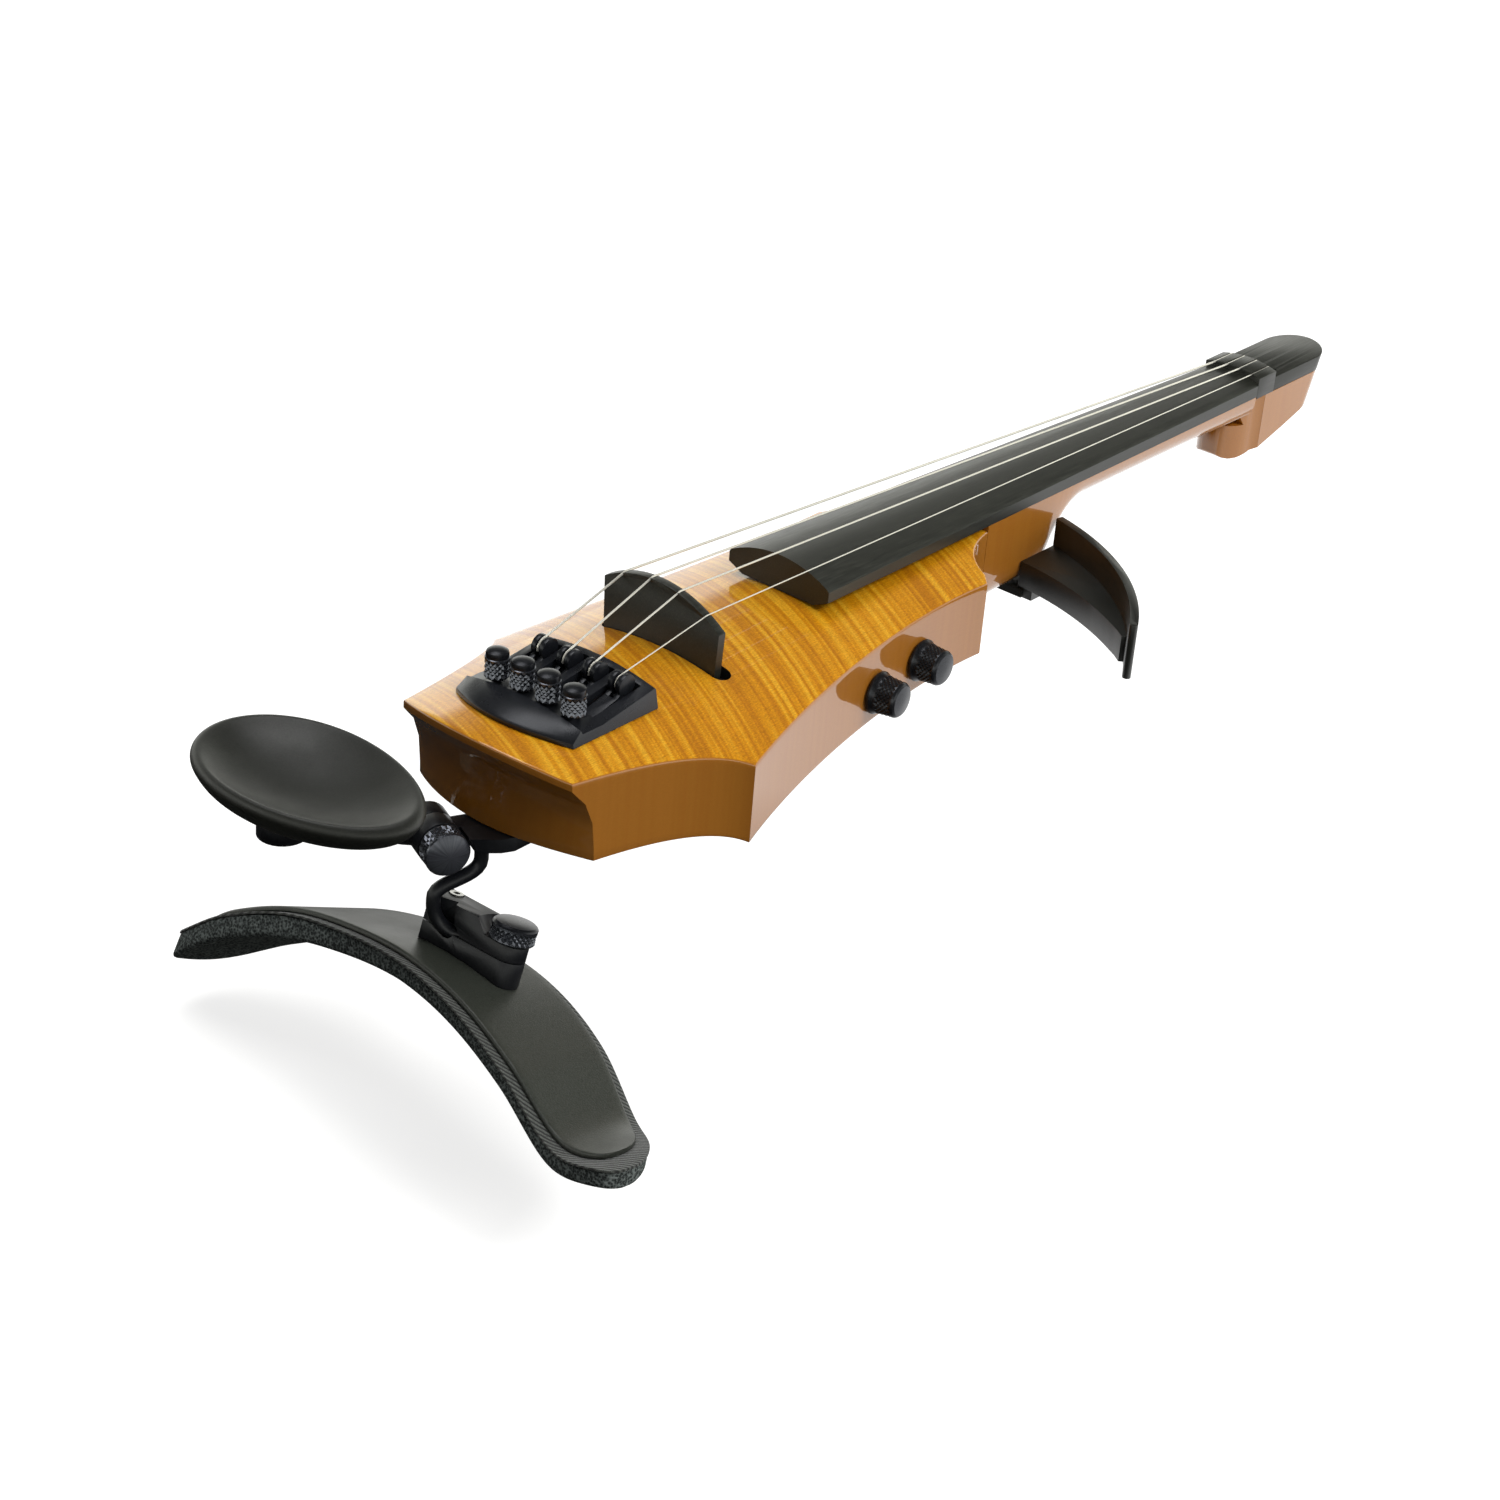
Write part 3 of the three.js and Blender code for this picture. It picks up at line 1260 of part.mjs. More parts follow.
function makeChinArm() {
  const lug = rod(clampPoint(-seatGap / 2), clampPoint(-lugThickness), lugRadius, 28);
  const middle = clampPoint(-lugThickness / 2 - chinArmOffset);
  const level = vector(clampOut.y, -clampOut.x, 0);
  const bend = middle.clone().addScaledVector(level, lugRadius + chinArmBendReach);
  const bossLow = bossTop - bossHeight;
  const route = new THREE.CatmullRomCurve3([
    middle.clone().addScaledVector(level, chinArmRootReach),
    bend.clone().setZ(clampHeight + chinArmBendRise),
    vector(clampX - chinArmRunLength, bend.y + chinArmSideStep, clampHeight + chinArmRunRise),
    vector(bossX + chinArmEndLength, bossY + chinArmSideStep, bossLow - chinArmEndDrop),
    vector(bossX, bossY, bossLow + chinArmEndRise),
  ], false, "catmullrom", 0.5);
  const section = (share) => {
    const halfWide = THREE.MathUtils.lerp(chinArmRootHalfWidth, chinArmEndHalfWidth, share);
    const halfTall = THREE.MathUtils.lerp(chinArmRootHalfHeight, chinArmEndHalfHeight, share);
    const soft = chinArmEdge;
    return [
      [halfWide, halfTall - soft], [halfWide - soft, halfTall], [soft - halfWide, halfTall],
      [-halfWide, halfTall - soft],
      [-halfWide, soft - halfTall], [soft - halfWide, -halfTall], [halfWide - soft, -halfTall],
      [halfWide, soft - halfTall]];
  };
  const bar = sweepLevel(route.getSpacedPoints(12), section);
  const boss = upright(bossX, bossY, bossLow, bossTop, bossRadius, 28);
  const keepOut = rod(clampPoint(-seatGap / 2), clampPoint(3 * lugThickness), lugRadius + lugClearance, 28);
  const pivotHole = upright(bossX, bossY, bossLow - overrun, 0, chinScrewRadius + runningGap, 12);
  const headRecess = upright(bossX, bossY, bossLow - 2 * overrun, bossLow + chinScrewSink,
    chinScrewHeadRadius + 2 * runningGap, 14);
  return cut(join(lug, bar, boss), keepOut, clampBore(clampBoltRadius + runningGap), pivotHole, headRecess);
}

// A bar swept along a route with its sides kept upright.
function sweepLevel(route, sectionAt) {
  const rings = route.map((point, i) => {
    const before = route[Math.max(i - 1, 0)];
    const after = route[Math.min(i + 1, route.length - 1)];
    const along = after.clone().sub(before).normalize();
    const side = vector(-along.y, along.x, 0).normalize();
    const up = along.clone().cross(side);
    return sectionAt(i / (route.length - 1)).map(([u, v]) =>
      point.clone().addScaledVector(side, u).addScaledVector(up, v));
  });
  return loft(rings);
}

add("chin_arm", makeChinArm(), blackMetal);

// Chin rest: an oval dish with a thick round rim and a hub under it

function makeChinRest() {
  const radiusShares = [0, 0.3, 0.58, 0.8, 0.9, 0.955, 0.99, 1, 0.985, 0.94, 0.8, 0.55, 0.25, 0];
  const dishShares = [1, 0.9, 0.62, 0.26, 0.08, 0, 0.05];
  const under = -chinDish - chinThickness;
  const rimHeights = [-chinRim * 0.45, -chinRim * 0.8, -chinRim * 1.05];
  const underShares = [0.58, 0.82, 0.96, 1];
  const heights = [
    ...dishShares.map((share) => -share * chinDish), ...rimHeights,
    ...underShares.map((share) => share * under)];
  const profile = radiusShares.map((share, i) => [share, heights[i]]).reverse();
  const dish = turned(profile, 40).scale(chinHalfWidth, chinHalfLength, 1);
  const spots = dish.attributes.position;
  for (let i = 0; i < spots.count; i += 1) {
    spots.setX(i, spots.getX(i) * (1 + (chinEggShare * spots.getY(i)) / chinHalfLength));
  }
  dish.translate(chinX, chinY, chinHeight);
  const hub = upright(bossX, bossY, bossTop + seatGap, chinHeight - chinDish - hubSink, bossRadius, 28);
  const thread = upright(bossX, bossY, bossTop - overrun, chinHeight - chinDish - chinThreadGap,
    chinScrewRadius + runningGap, 12);
  return cut(join(dish, hub), thread);
}

add("chin_rest", makeChinRest(), blackPlastic);
add("chin_pivot_screw", screwUp(bossX, bossY, bossTop - bossHeight + seatGap, chinScrewHeadRadius,
  chinScrewHeadHeight, chinScrewRadius, chinScrewLength), steel);

// Bent rod between the tail bracket and the shoulder rest

const rodLowHeight = barSplitHeight + rodBendRadius;
const rodEndDirection = vector(Math.cos(radians(rodEndYaw)), Math.sin(radians(rodEndYaw)), 0);
const rodBendEnd = vector(rodLowX, rodLowY, barSplitHeight).addScaledVector(rodEndDirection, rodBendRadius);
const rodTip = rodBendEnd.clone().addScaledVector(rodEndDirection, rodEndLength);

function rodCurve() {
  const path = new THREE.CurvePath();
  const top = vector(rodTopX, rodTopY, rodTopHeight);
  const topEnd = vector(rodTopX, rodTopY, rodTopHeight - rodTopStraight);
  const lowStart = vector(rodLowX, rodLowY, rodLowHeight + rodLowStraight);
  const lowEnd = vector(rodLowX, rodLowY, rodLowHeight);
  const roundShare = 0.5523;
  path.add(new THREE.LineCurve3(top, topEnd));
  path.add(new THREE.CubicBezierCurve3(topEnd, topEnd.clone().setZ(topEnd.z - rodTopPull),
    lowStart.clone().setZ(lowStart.z + rodLowPull), lowStart));
  path.add(new THREE.LineCurve3(lowStart, lowEnd));
  path.add(new THREE.CubicBezierCurve3(lowEnd, lowEnd.clone().setZ(lowEnd.z - roundShare * rodBendRadius),
    rodBendEnd.clone().addScaledVector(rodEndDirection, -roundShare * rodBendRadius), rodBendEnd));
  path.add(new THREE.LineCurve3(rodBendEnd, rodTip));
  return path;
}

function rodSolid(radius, steps, sides) {
  const section = shapeOf(circle(radius, sides));
  return new THREE.ExtrudeGeometry(section, { steps, extrudePath: rodCurve(), bevelEnabled: false,
    curveSegments: 1 });
}

add("bent_rod", rodSolid(rodRadius, 32, 12), blackMetal);

// Shoulder pad, facing and plate: curved sheets that follow one saddle

const padSteps = 24;
const padSpline = new THREE.SplineCurve(
  padRiseShares.map((share, i) => new THREE.Vector2(i / (padRiseShares.length - 1), share * padRise)));
const stationShares = Array.from({ length: padSteps + 1 }, (_, i) => -1 + (2 * i) / padSteps);
const stations = stationShares.map((share) => ({
  y: share * padHalfLength,
  x: padSweep * share - padBow * share * share,
  z: padSpline.getPoint((share + 1) / 2).y,
  tilt: padTilt + padTwist * share,
}));

// The saddle at one place along it. It is straight between stations, so that sheets laid on it
// keep an even gap.
function saddleAt(y) {
  const place = THREE.MathUtils.clamp(((y / padHalfLength + 1) / 2) * padSteps, 0, padSteps - 1e-9);
  const [start, end] = [stations[Math.floor(place)], stations[Math.floor(place) + 1]];
  const share = place - Math.floor(place);
  const between = (name) => THREE.MathUtils.lerp(start[name], end[name], share);
  return { x: between("x"), z: between("z"), tilt: radians(between("tilt")) };
}

// A sheet over the saddle, from one height above it to another, with rounded lower and upper
// edges. The lower height may change along the sheet.
function saddleSheet(inset, lowAt, high, softLow, softHigh, endInset = inset) {
  const squareness = 2.7;
  const halfLength = padHalfLength - endInset;
  const halfWidth = padHalfWidth - inset;
  const endShares = [0.91, 0.955, 0.98, 0.994];
  const ends = endShares.map((share) => share * halfLength);
  const inside = stations.map((station) => station.y).filter((y) => Math.abs(y) < ends[3] - overrun / 4);
  const alongs = [...new Set([...inside, ...ends, ...ends.map((y) => -y)])].sort((a, b) => a - b);
  const rings = alongs.map((y) => {
    const half = halfWidth * (1 - Math.abs(y / halfLength) ** squareness) ** (1 / squareness);
    const low = lowAt(y / padHalfLength);
    const { x, z, tilt } = saddleAt(y);
    const corner = [
      [half - softHigh, high], [half - 0.3 * softHigh, high - 0.3 * softHigh], [half, high - softHigh],
      [half, low + softLow], [half - 0.3 * softLow, low + 0.3 * softLow], [half - softLow, low]];
    const other = corner.map(([u, v]) => [-u, v]).reverse();
    return [...corner, ...other].map(([u, v]) =>
      vector(x + u * Math.cos(tilt) + v * Math.sin(tilt), y, z - u * Math.sin(tilt) + v * Math.cos(tilt)));
  });
  return loft(rings).rotateZ(radians(padYaw)).translate(padX, padY, padHeight);
}

function foamThicknessAt(share) {
  const last = foamThicknessShares.length - 1;
  const place = THREE.MathUtils.clamp(((share + 1) / 2) * last, 0, last - 1e-9);
  const start = Math.floor(place);
  const [here, ahead] = foamThicknessShares.slice(start, start + 2);
  return foamThickness * THREE.MathUtils.lerp(here, ahead, place - start);
}

const plateLow = seatGap;
const plateHigh = plateLow + plateThickness;
add("shoulder_plate", saddleSheet(plateInset, () => plateLow, plateHigh, plateLowEdge, plateHighEdge, plateEndInset),
  blackPlastic);
add("plate_facing", saddleSheet(0, () => -facingThickness, 0, facingEdge, facingEdge), fabric);
const foamTop = -facingThickness - seatGap;
add("foam_pad", saddleSheet(foamInset, (share) => foamTop - foamThicknessAt(share), foamTop, foamLowEdge,
  foamHighEdge), foam);

// Clamp bars on the shoulder plate

// The bars are drawn level about the end of the rod, then leaned over with the plate.
const lean = (geometry) => geometry.rotateY(radians(barTilt)).translate(rodBendEnd.x, rodBendEnd.y,
  rodBendEnd.z);
const barMiddleX = barNearX + barWidth / 2;
const thumbY = barTrebleY + barWidth / 2 + thumbSetback;

function barBlock(low, high) {
  const round = barWidth / 2;
  const shape = new THREE.Shape();
  shape.moveTo(barNearX, barBassY);
  shape.lineTo(barNearX, barTrebleY + round);
  shape.absarc(barMiddleX, barTrebleY + round, round, Math.PI, 2 * Math.PI, false);
  shape.lineTo(barNearX + barWidth, barBassY);
  shape.closePath();
  return prismZ(shape, low, high);
}

const thumbHole = (low, high) => upright(barMiddleX, thumbY, low, high, thumbScrewRadius + runningGap, 12);
const socketHole = (low, high) => upright(socketScrewX, socketScrewY, low, high,
  socketScrewRadius + runningGap,
  12);

function makeBaseBar() {
  const block = cut(barBlock(-2 * barWidth, -seatGap / 2), thumbHole(-barScrewReach - seatGap, 0),
    socketHole(-barScrewReach - seatGap, 0));
  const under = saddleSheet(-overrun, () => plateHigh - 3 * barWidth, plateHigh + seatGap, seatGap, seatGap);
  return cut(lean(block), under, rodSolid(rodRadius + 2 * runningGap, 32, 12));
}

function makeClampBar() {
  const top = clampBarHeight;
  const mouth = [
    [0, thumbSeatHeight], [thumbRecessRadius, thumbSeatHeight], [thumbRecessMouth, top + runningGap],
    [thumbRecessMouth, top + overrun], [0, top + overrun]];
  const block = cut(barBlock(seatGap / 2, top), turned(mouth, 26).translate(barMiddleX, thumbY, 0),
    thumbHole(-overrun, top), socketHole(-overrun, top + overrun),
    upright(socketScrewX, socketScrewY, top - socketHeadSink, top + overrun, socketHeadRadius + seatGap, 14));
  return cut(lean(block), rodSolid(rodRadius + clampBarRodClearance, 32, 12), rodMouth());
}

// Room for the rod where it drops into the clamp bar's tail side.
function rodMouth() {
  const wide = rodRadius + clampBarRodClearance;
  const start = vector(rodLowX, rodLowY, 0);
  const inside = rodBendEnd.clone().addScaledVector(rodEndDirection, -overrun);
  const side = vector(-rodEndDirection.y, rodEndDirection.x, 0).multiplyScalar(wide);
  const corners = [
    start.clone().add(side), inside.clone().add(side), inside.clone().sub(side), start.clone().sub(side)];
  const shape = shapeOf(corners.map((p) => [p.x, p.y]));
  return prismZ(shape, barSplitHeight - overrun, barSplitHeight + 2 * clampBarHeight);
}

add("rest_base_bar", makeBaseBar(), blackMetal);
add("rest_clamp_bar", makeClampBar(), blackMetal);

function makeSocketScrew() {
  const top = clampBarHeight + socketHeadProud;
  const neck = top - socketHeadHeight;
  const profile = [
    [0, -barScrewReach], [socketScrewRadius, -barScrewReach], [socketScrewRadius, neck],
    [socketHeadRadius, neck], [socketHeadRadius, top], [0, top]];
  const screw = turned(profile, 16).translate(socketScrewX, socketScrewY, 0);
  return lean(cut(screw, upright(socketScrewX, socketScrewY, top - socketKeyDepth, top + overrun,
    socketKeyRadius, 6)));
}

add("rest_socket_screw", makeSocketScrew(), steel);

function makeThumbKnob() {
  const base = thumbSeatHeight + seatGap;
  const top = base + thumbKnobHeight;
  const r = thumbKnobRadius;
  const profile = [
    [0, -barScrewReach], [thumbScrewRadius, -barScrewReach], [thumbScrewRadius, base],
    [r - knobFaceBevel, base],
    [r, base + knobFaceBevel], [r, top - thumbKnobShoulder], [r - thumbRimInset, top],
    [r - thumbRimInset - thumbRimWidth, top], [r * 0.5, top - 0.8 * thumbDish], [0, top - thumbDish]];
  return lean(turned(profile, 26).translate(barMiddleX, thumbY, 0));
}

add("thumb_knob", makeThumbKnob(), blackMetal);

// Upper-bout arm: a tall curved wall with a thick band along its foot

const heelSide = -neckHalfWidth(heelEndX - armFlangeLength) - seatGap;
const armCentreX = armRootX - armOuterRadius * Math.cos(radians(armRootAngle));
const armCentreY = armRootY - armOuterRadius * Math.sin(radians(armRootAngle));
const armFloor = armTopHeight - armHeight;

// Points along an arc about the arm's centre. The radius may change along it.
function arcPoints(radiusAt, startAngle, endAngle, steps) {
  return Array.from({ length: steps + 1 }, (_, i) => {
    const share = i / steps;
    const angle = radians(THREE.MathUtils.lerp(startAngle, endAngle, share));
    const radius = radiusAt(share);
    return [armCentreX + radius * Math.cos(angle), armCentreY + radius * Math.sin(angle)];
  });
}

const boutScrews = [0, 1].map((place) => [heelEndX - boutScrewInset - place * boutScrewSpacing, boutScrewY]);
const flangeTop = undersideAt(heelEndX) - glueGap - heelDepth - seatGap;
const flangeLow = flangeTop - armFlangeThickness;

function makeBoutArm() {
  const innerRadius = armOuterRadius - armWall;
  const outer = arcPoints(() => armOuterRadius, armRootAngle, armTipAngle, 20);
  const inner = arcPoints(() => innerRadius, armTipAngle, armRootAngle, 20);
  const wall = prismZ(shapeOf([...outer, ...inner]), armFloor, armTopHeight);
  const tip = outer[20].map((value, i) => (value + inner[0][i]) / 2);
  const tipRound = upright(tip[0], tip[1], armFloor, armTopHeight, armWall / 2, 16);
  const bandRadius = armOuterRadius - armWall / 2;
  const bandSteps = 2 * (armBandShares.length - 1);
  const widths = new THREE.SplineCurve(
    armBandShares.map((share, i) => new THREE.Vector2(i / (armBandShares.length - 1), share * armBandWidth)));
  const bandOuter = arcPoints(() => bandRadius, armRootAngle, armBandTipAngle, bandSteps);
  const bandInner = arcPoints((share) => bandRadius - widths.getPoint(1 - share).y, armBandTipAngle,
    armRootAngle,
    bandSteps);
  const band = prismZ(shapeOf([...bandOuter, ...bandInner]), armFloor, armFloor + armBandHeight);
  const flange = box([heelEndX - armFlangeLength, heelSide - armFlangeLap, flangeLow],
    [heelEndX - armFlangeSetback, armFlangeBassY, flangeTop]);
  const drop = box([heelEndX - armFlangeLength + armDropInset, heelSide - armDropThickness, flangeLow],
    [heelEndX + armDropReach, heelSide, armFloor + armDropSink]);
  const heelClear = box([neckJoinX, heelSide, flangeTop],
    [heelEndX + heelClearLength, 3 * armWall, armTopHeight + overrun]);
  const holes = boutScrews.map(([x, y]) => screwHole(x, y, flangeLow - armFlangeThickness, 0,
    boutScrewRadius));
  const arm = cut(join(wall, tipRound, band, drop), heelClear);
  return cut(join(arm, flange), ...holes);
}

add("bout_arm", makeBoutArm(), blackPlastic);

boutScrews.forEach(([x, y], i) => {
  const face = flangeLow - seatGap - boutScrewHeadHeight;
  add(`bout_arm_screw_${i + 1}`, screwUp(x, y, face, boutScrewHeadRadius, boutScrewHeadHeight,
    boutScrewRadius,
    boutScrewLength), steel);
});

export default violin;
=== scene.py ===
import json
import math

import bmesh
import bpy
from mathutils import Matrix, Vector

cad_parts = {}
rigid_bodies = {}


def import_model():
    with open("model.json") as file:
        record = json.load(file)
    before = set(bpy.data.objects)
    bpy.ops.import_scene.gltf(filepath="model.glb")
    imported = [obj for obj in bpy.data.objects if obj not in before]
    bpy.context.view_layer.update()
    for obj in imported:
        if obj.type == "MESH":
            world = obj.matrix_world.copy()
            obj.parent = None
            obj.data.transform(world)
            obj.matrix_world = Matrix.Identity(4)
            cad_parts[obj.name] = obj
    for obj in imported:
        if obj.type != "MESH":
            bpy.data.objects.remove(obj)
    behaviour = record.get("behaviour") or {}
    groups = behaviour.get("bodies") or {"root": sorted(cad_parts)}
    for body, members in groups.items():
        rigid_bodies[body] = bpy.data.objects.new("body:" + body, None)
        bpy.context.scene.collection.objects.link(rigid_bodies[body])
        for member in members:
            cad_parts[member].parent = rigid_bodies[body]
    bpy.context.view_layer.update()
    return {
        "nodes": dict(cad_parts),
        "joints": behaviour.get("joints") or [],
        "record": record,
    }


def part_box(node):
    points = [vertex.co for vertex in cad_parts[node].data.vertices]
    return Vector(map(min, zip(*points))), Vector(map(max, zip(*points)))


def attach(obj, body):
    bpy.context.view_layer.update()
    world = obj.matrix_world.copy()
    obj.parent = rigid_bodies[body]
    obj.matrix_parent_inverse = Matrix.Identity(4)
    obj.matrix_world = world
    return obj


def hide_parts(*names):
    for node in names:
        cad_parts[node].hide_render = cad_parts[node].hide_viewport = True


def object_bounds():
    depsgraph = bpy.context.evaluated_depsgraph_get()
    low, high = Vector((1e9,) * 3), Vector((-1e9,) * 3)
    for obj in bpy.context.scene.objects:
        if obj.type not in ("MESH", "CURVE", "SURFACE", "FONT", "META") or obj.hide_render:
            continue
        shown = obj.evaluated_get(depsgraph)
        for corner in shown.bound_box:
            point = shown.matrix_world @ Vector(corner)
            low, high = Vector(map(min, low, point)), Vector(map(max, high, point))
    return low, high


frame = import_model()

# Everything below is drawn in millimetres and turned to metres by MM
MM = 0.001

# Places are given from the instrument's own datum, the crown of the top on the bridge line.
# This is where that datum lies in the frame.
DATUM = Vector((72, 0, 38.1))

# Body sizes
TOP_ARCH_RADIUS = 118
BODY_THICKNESS = 31.9
BACK_SLOPE_SHARE = 0.0135
BACK_DROOP = 9.3
TAIL_X = -88
TAIL_BOW = 9
TAIL_HALF_WIDTH = 35
TAIL_LIP = 3
TAIL_UNDERCUT = 7.6
TAIL_UNDERCUT_HEIGHT = 30
LOWER_CORNER = (-18.4, 55.2)
UPPER_CORNER = (123.3, 36.8)
CORNER_FLAT = 3.2
NECK_JOIN = (148, 17.87)
EDGE_ROUND = 0.7

# The bridge's slot, and the height that cuts in the top start from
SLOT_LOW = -1.9
SLOT_HIGH = 5.3
SLOT_HALF_LENGTH = 22.4
SLOT_DEPTH = 6
OVER_TOP = 4

# Square cuts in the body, each as its lowest and highest corner
BODY_CUTS = {
    "tailpiece_pocket": ((-63.5, -20, -5.4), (-31.5, 20, OVER_TOP)),
    "battery_hollow": ((-50, -15.5, -60), (3, 15.5, -11)),
    "battery_cover_seat": ((-56, -21.5, -62), (9, 21.5, -29.7)),
    "control_hollow": ((44, -34, -60), (98, 22, -12)),
    "control_cover_seat": ((38, -35.5, -62), (104, 28, -28.5)),
    "neck_pocket": ((107.7, -12.3, -18.3), (150, 12.3, OVER_TOP)),
    "bracket_seat": ((-90, -18, -62), (-58, 18, -33)),
}

# Pad sizes
PAD_PLACE = (-94, -4.5, -77)
PAD_TILT = 18.8
PAD_TWIST = 9.2
PAD_BOW = 23.4
PAD_SWEEP = 6.2
PAD_YAW = -1.2
PAD_HALF_LENGTH = 102
PAD_HALF_WIDTH = 23.8
PAD_HEIGHTS = [-5, -12.8, -3.8, 2.2, 4, 1.8, -3.2, -14, -28.3]
PAD_SQUARENESS = 2.7
FOAM_THICKNESSES = [5.4, 4.6, 4.8, 7.4, 8]
FOAM_INSET = 0.4
FACING_THICKNESS = 0.8
PLATE_THICKNESS = 1.7
PLATE_INSET = 3.4
PLATE_END_INSET = 8
SHEET_GAP = 0.3

# Chin rest sizes
CHIN_PLACE = (-138.4, 13.2, 2)
CHIN_HALF_LENGTH = 41.1
CHIN_HALF_WIDTH = 25.7
CHIN_EGG_SHARE = 0.1
CHIN_DISH = 8
CHIN_THICKNESS = 5
BOSS = (-144.5, 18)
BOSS_RADIUS = 7.7
BOSS_TOP = -13.6


# Camera, solved from the photograph

def place_camera():
    eye = (Vector((-724.548, -600.339, 487.358)) + DATUM) * MM
    right = Vector((0.6401356, -0.7645107, 0.0758273))
    down = Vector((-0.3316746, -0.3640384, -0.8703264))
    ahead = Vector((0.6929779, 0.5319769, -0.4866027))
    photo_width = 1500
    focal_pixels = 3372.0
    centre_u, centre_v = 764.89, 754.25
    data = bpy.data.cameras.new("photo_camera")
    data.sensor_width = 36
    data.lens = focal_pixels * data.sensor_width / photo_width
    data.shift_x = (photo_width / 2 - centre_u) / photo_width
    data.shift_y = (centre_v - photo_width / 2) / photo_width
    data.clip_end = 20
    camera = bpy.data.objects.new("photo_camera", data)
    bpy.context.scene.collection.objects.link(camera)
    turn = Matrix((right, -down, -ahead)).transposed().to_4x4()
    camera.matrix_world = Matrix.Translation(eye) @ turn
    bpy.context.scene.camera = camera


place_camera()


# Modelling helpers

def deselect():
    if bpy.context.object and bpy.context.object.mode == "EDIT":
        bpy.ops.object.mode_set(mode="OBJECT")
    for other in bpy.context.scene.objects:
        other.select_set(False)


def focus(piece):
    deselect()
    piece.select_set(True)
    bpy.context.view_layer.objects.active = piece


def settle(piece):
    """Puts the piece's place into its mesh."""
    focus(piece)
    bpy.ops.object.transform_apply(location=True, rotation=True, scale=True)


def apply_modifiers(piece):
    focus(piece)
    for modifier in list(piece.modifiers):
        bpy.ops.object.modifier_apply(modifier=modifier.name)


def smooth(piece, angle):
    focus(piece)
    bpy.ops.object.shade_smooth_by_angle(angle=math.radians(angle))


def add_bevel(piece, width, angle):
    modifier = piece.modifiers.new("round_edges", "BEVEL")
    modifier.width = width * MM
    modifier.segments = 2
    modifier.limit_method = "ANGLE"
    modifier.angle_limit = math.radians(angle)


def cut_away(piece, tool, operation="DIFFERENCE"):
    modifier = piece.modifiers.new("cut", "BOOLEAN")
    modifier.operation = operation
    modifier.solver = "EXACT"
    modifier.object = tool
    apply_modifiers(piece)
    bpy.data.objects.remove(tool)


def copied(piece, name):
    """A copy of a piece, with a mesh of its own."""
    copy = bpy.data.objects.new(name, piece.data.copy())
    bpy.context.scene.collection.objects.link(copy)
    return copy


def box(low, high):
    """A plain block between two corners, given from the datum."""
    deselect()
    middle = (Vector(low) + Vector(high)) / 2
    bpy.ops.mesh.primitive_cube_add(size=1, location=(middle + DATUM) * MM)
    piece = bpy.context.object
    piece.scale = [(b - a) * MM for a, b in zip(low, high)]
    settle(piece)
    return piece


def pin(start, end, radius, sides=48):
    """A round bar between two points, given from the datum."""
    deselect()
    first = (Vector(start) + DATUM) * MM
    last = (Vector(end) + DATUM) * MM
    along = last - first
    bpy.ops.mesh.primitive_cylinder_add(vertices=sides, radius=radius * MM, depth=along.length)
    piece = bpy.context.object
    turn = along.to_track_quat("Z", "Y").to_matrix().to_4x4()
    piece.matrix_world = Matrix.Translation((first + last) / 2) @ turn
    settle(piece)
    return piece


def set_ring(mesh, radius, height, depth, row):
    """Sets the selected ring of a turned piece to a radius and height. Every second point is sunk
    by a depth, starting with the other one in each next row."""
    chosen = [v for v in mesh.verts if v.select]
    chosen.sort(key=lambda v: math.atan2(v.co.y, v.co.x))
    for place, vertex in enumerate(chosen):
        angle = 2 * math.pi * (place + 0.5) / len(chosen) - math.pi
        reach = radius - (depth if (place + row) % 2 else 0)
        vertex.co = Vector((reach * math.cos(angle), reach * math.sin(angle), height)) * MM


def turned_rings(profile, knurl):
    """The rings of a turned piece as (radius, height, depth, row), with the rows of its knurl."""
    rings = []
    for place, (radius, height) in enumerate(profile):
        rings.append((radius, height, 0, 0))
        if knurl and place == knurl[0]:
            next_radius, next_height = profile[place + 1]
            for row in range(1, knurl[1]):
                share = row / knurl[1]
                rings.append((radius + (next_radius - radius) * share,
                              height + (next_height - height) * share, knurl[2], row))
    return rings


def turned(name, profile, sides, knurl=None):
    """Turns a profile of (radius, height) points, given from the foot up, into a closed piece.
    knurl is (first point, rows, depth): the run from that point to the next gets diamonds."""
    deselect()
    bpy.ops.mesh.primitive_circle_add(vertices=sides, radius=MM)
    piece = bpy.context.object
    piece.name = name
    bpy.ops.object.mode_set(mode="EDIT")
    for place, ring in enumerate(turned_rings(profile, knurl)):
        if place:
            bpy.ops.mesh.extrude_region_move()
        set_ring(bmesh.from_edit_mesh(piece.data), *ring)
        bmesh.update_edit_mesh(piece.data)
        if place == 0:
            bpy.ops.mesh.select_all(action="SELECT")
    bpy.ops.mesh.edge_face_add()
    bpy.ops.mesh.select_all(action="DESELECT")
    mesh = bmesh.from_edit_mesh(piece.data)
    for edge in [edge for edge in mesh.edges if edge.is_boundary]:
        edge.select = True
    bpy.ops.mesh.edge_face_add()
    if knurl:
        low, high = sorted(profile[place][1] * MM for place in (knurl[0], knurl[0] + 1))
        bpy.ops.mesh.select_all(action="DESELECT")
        mesh = bmesh.from_edit_mesh(piece.data)
        for face in mesh.faces:
            face.select = len(face.verts) == 4 and low < face.calc_center_median().z < high
        bpy.ops.mesh.quads_convert_to_tris(quad_method="SHORTEST_DIAGONAL")
    bpy.ops.mesh.select_all(action="SELECT")
    bpy.ops.mesh.normals_make_consistent(inside=False)
    bpy.ops.object.mode_set(mode="OBJECT")
    return piece


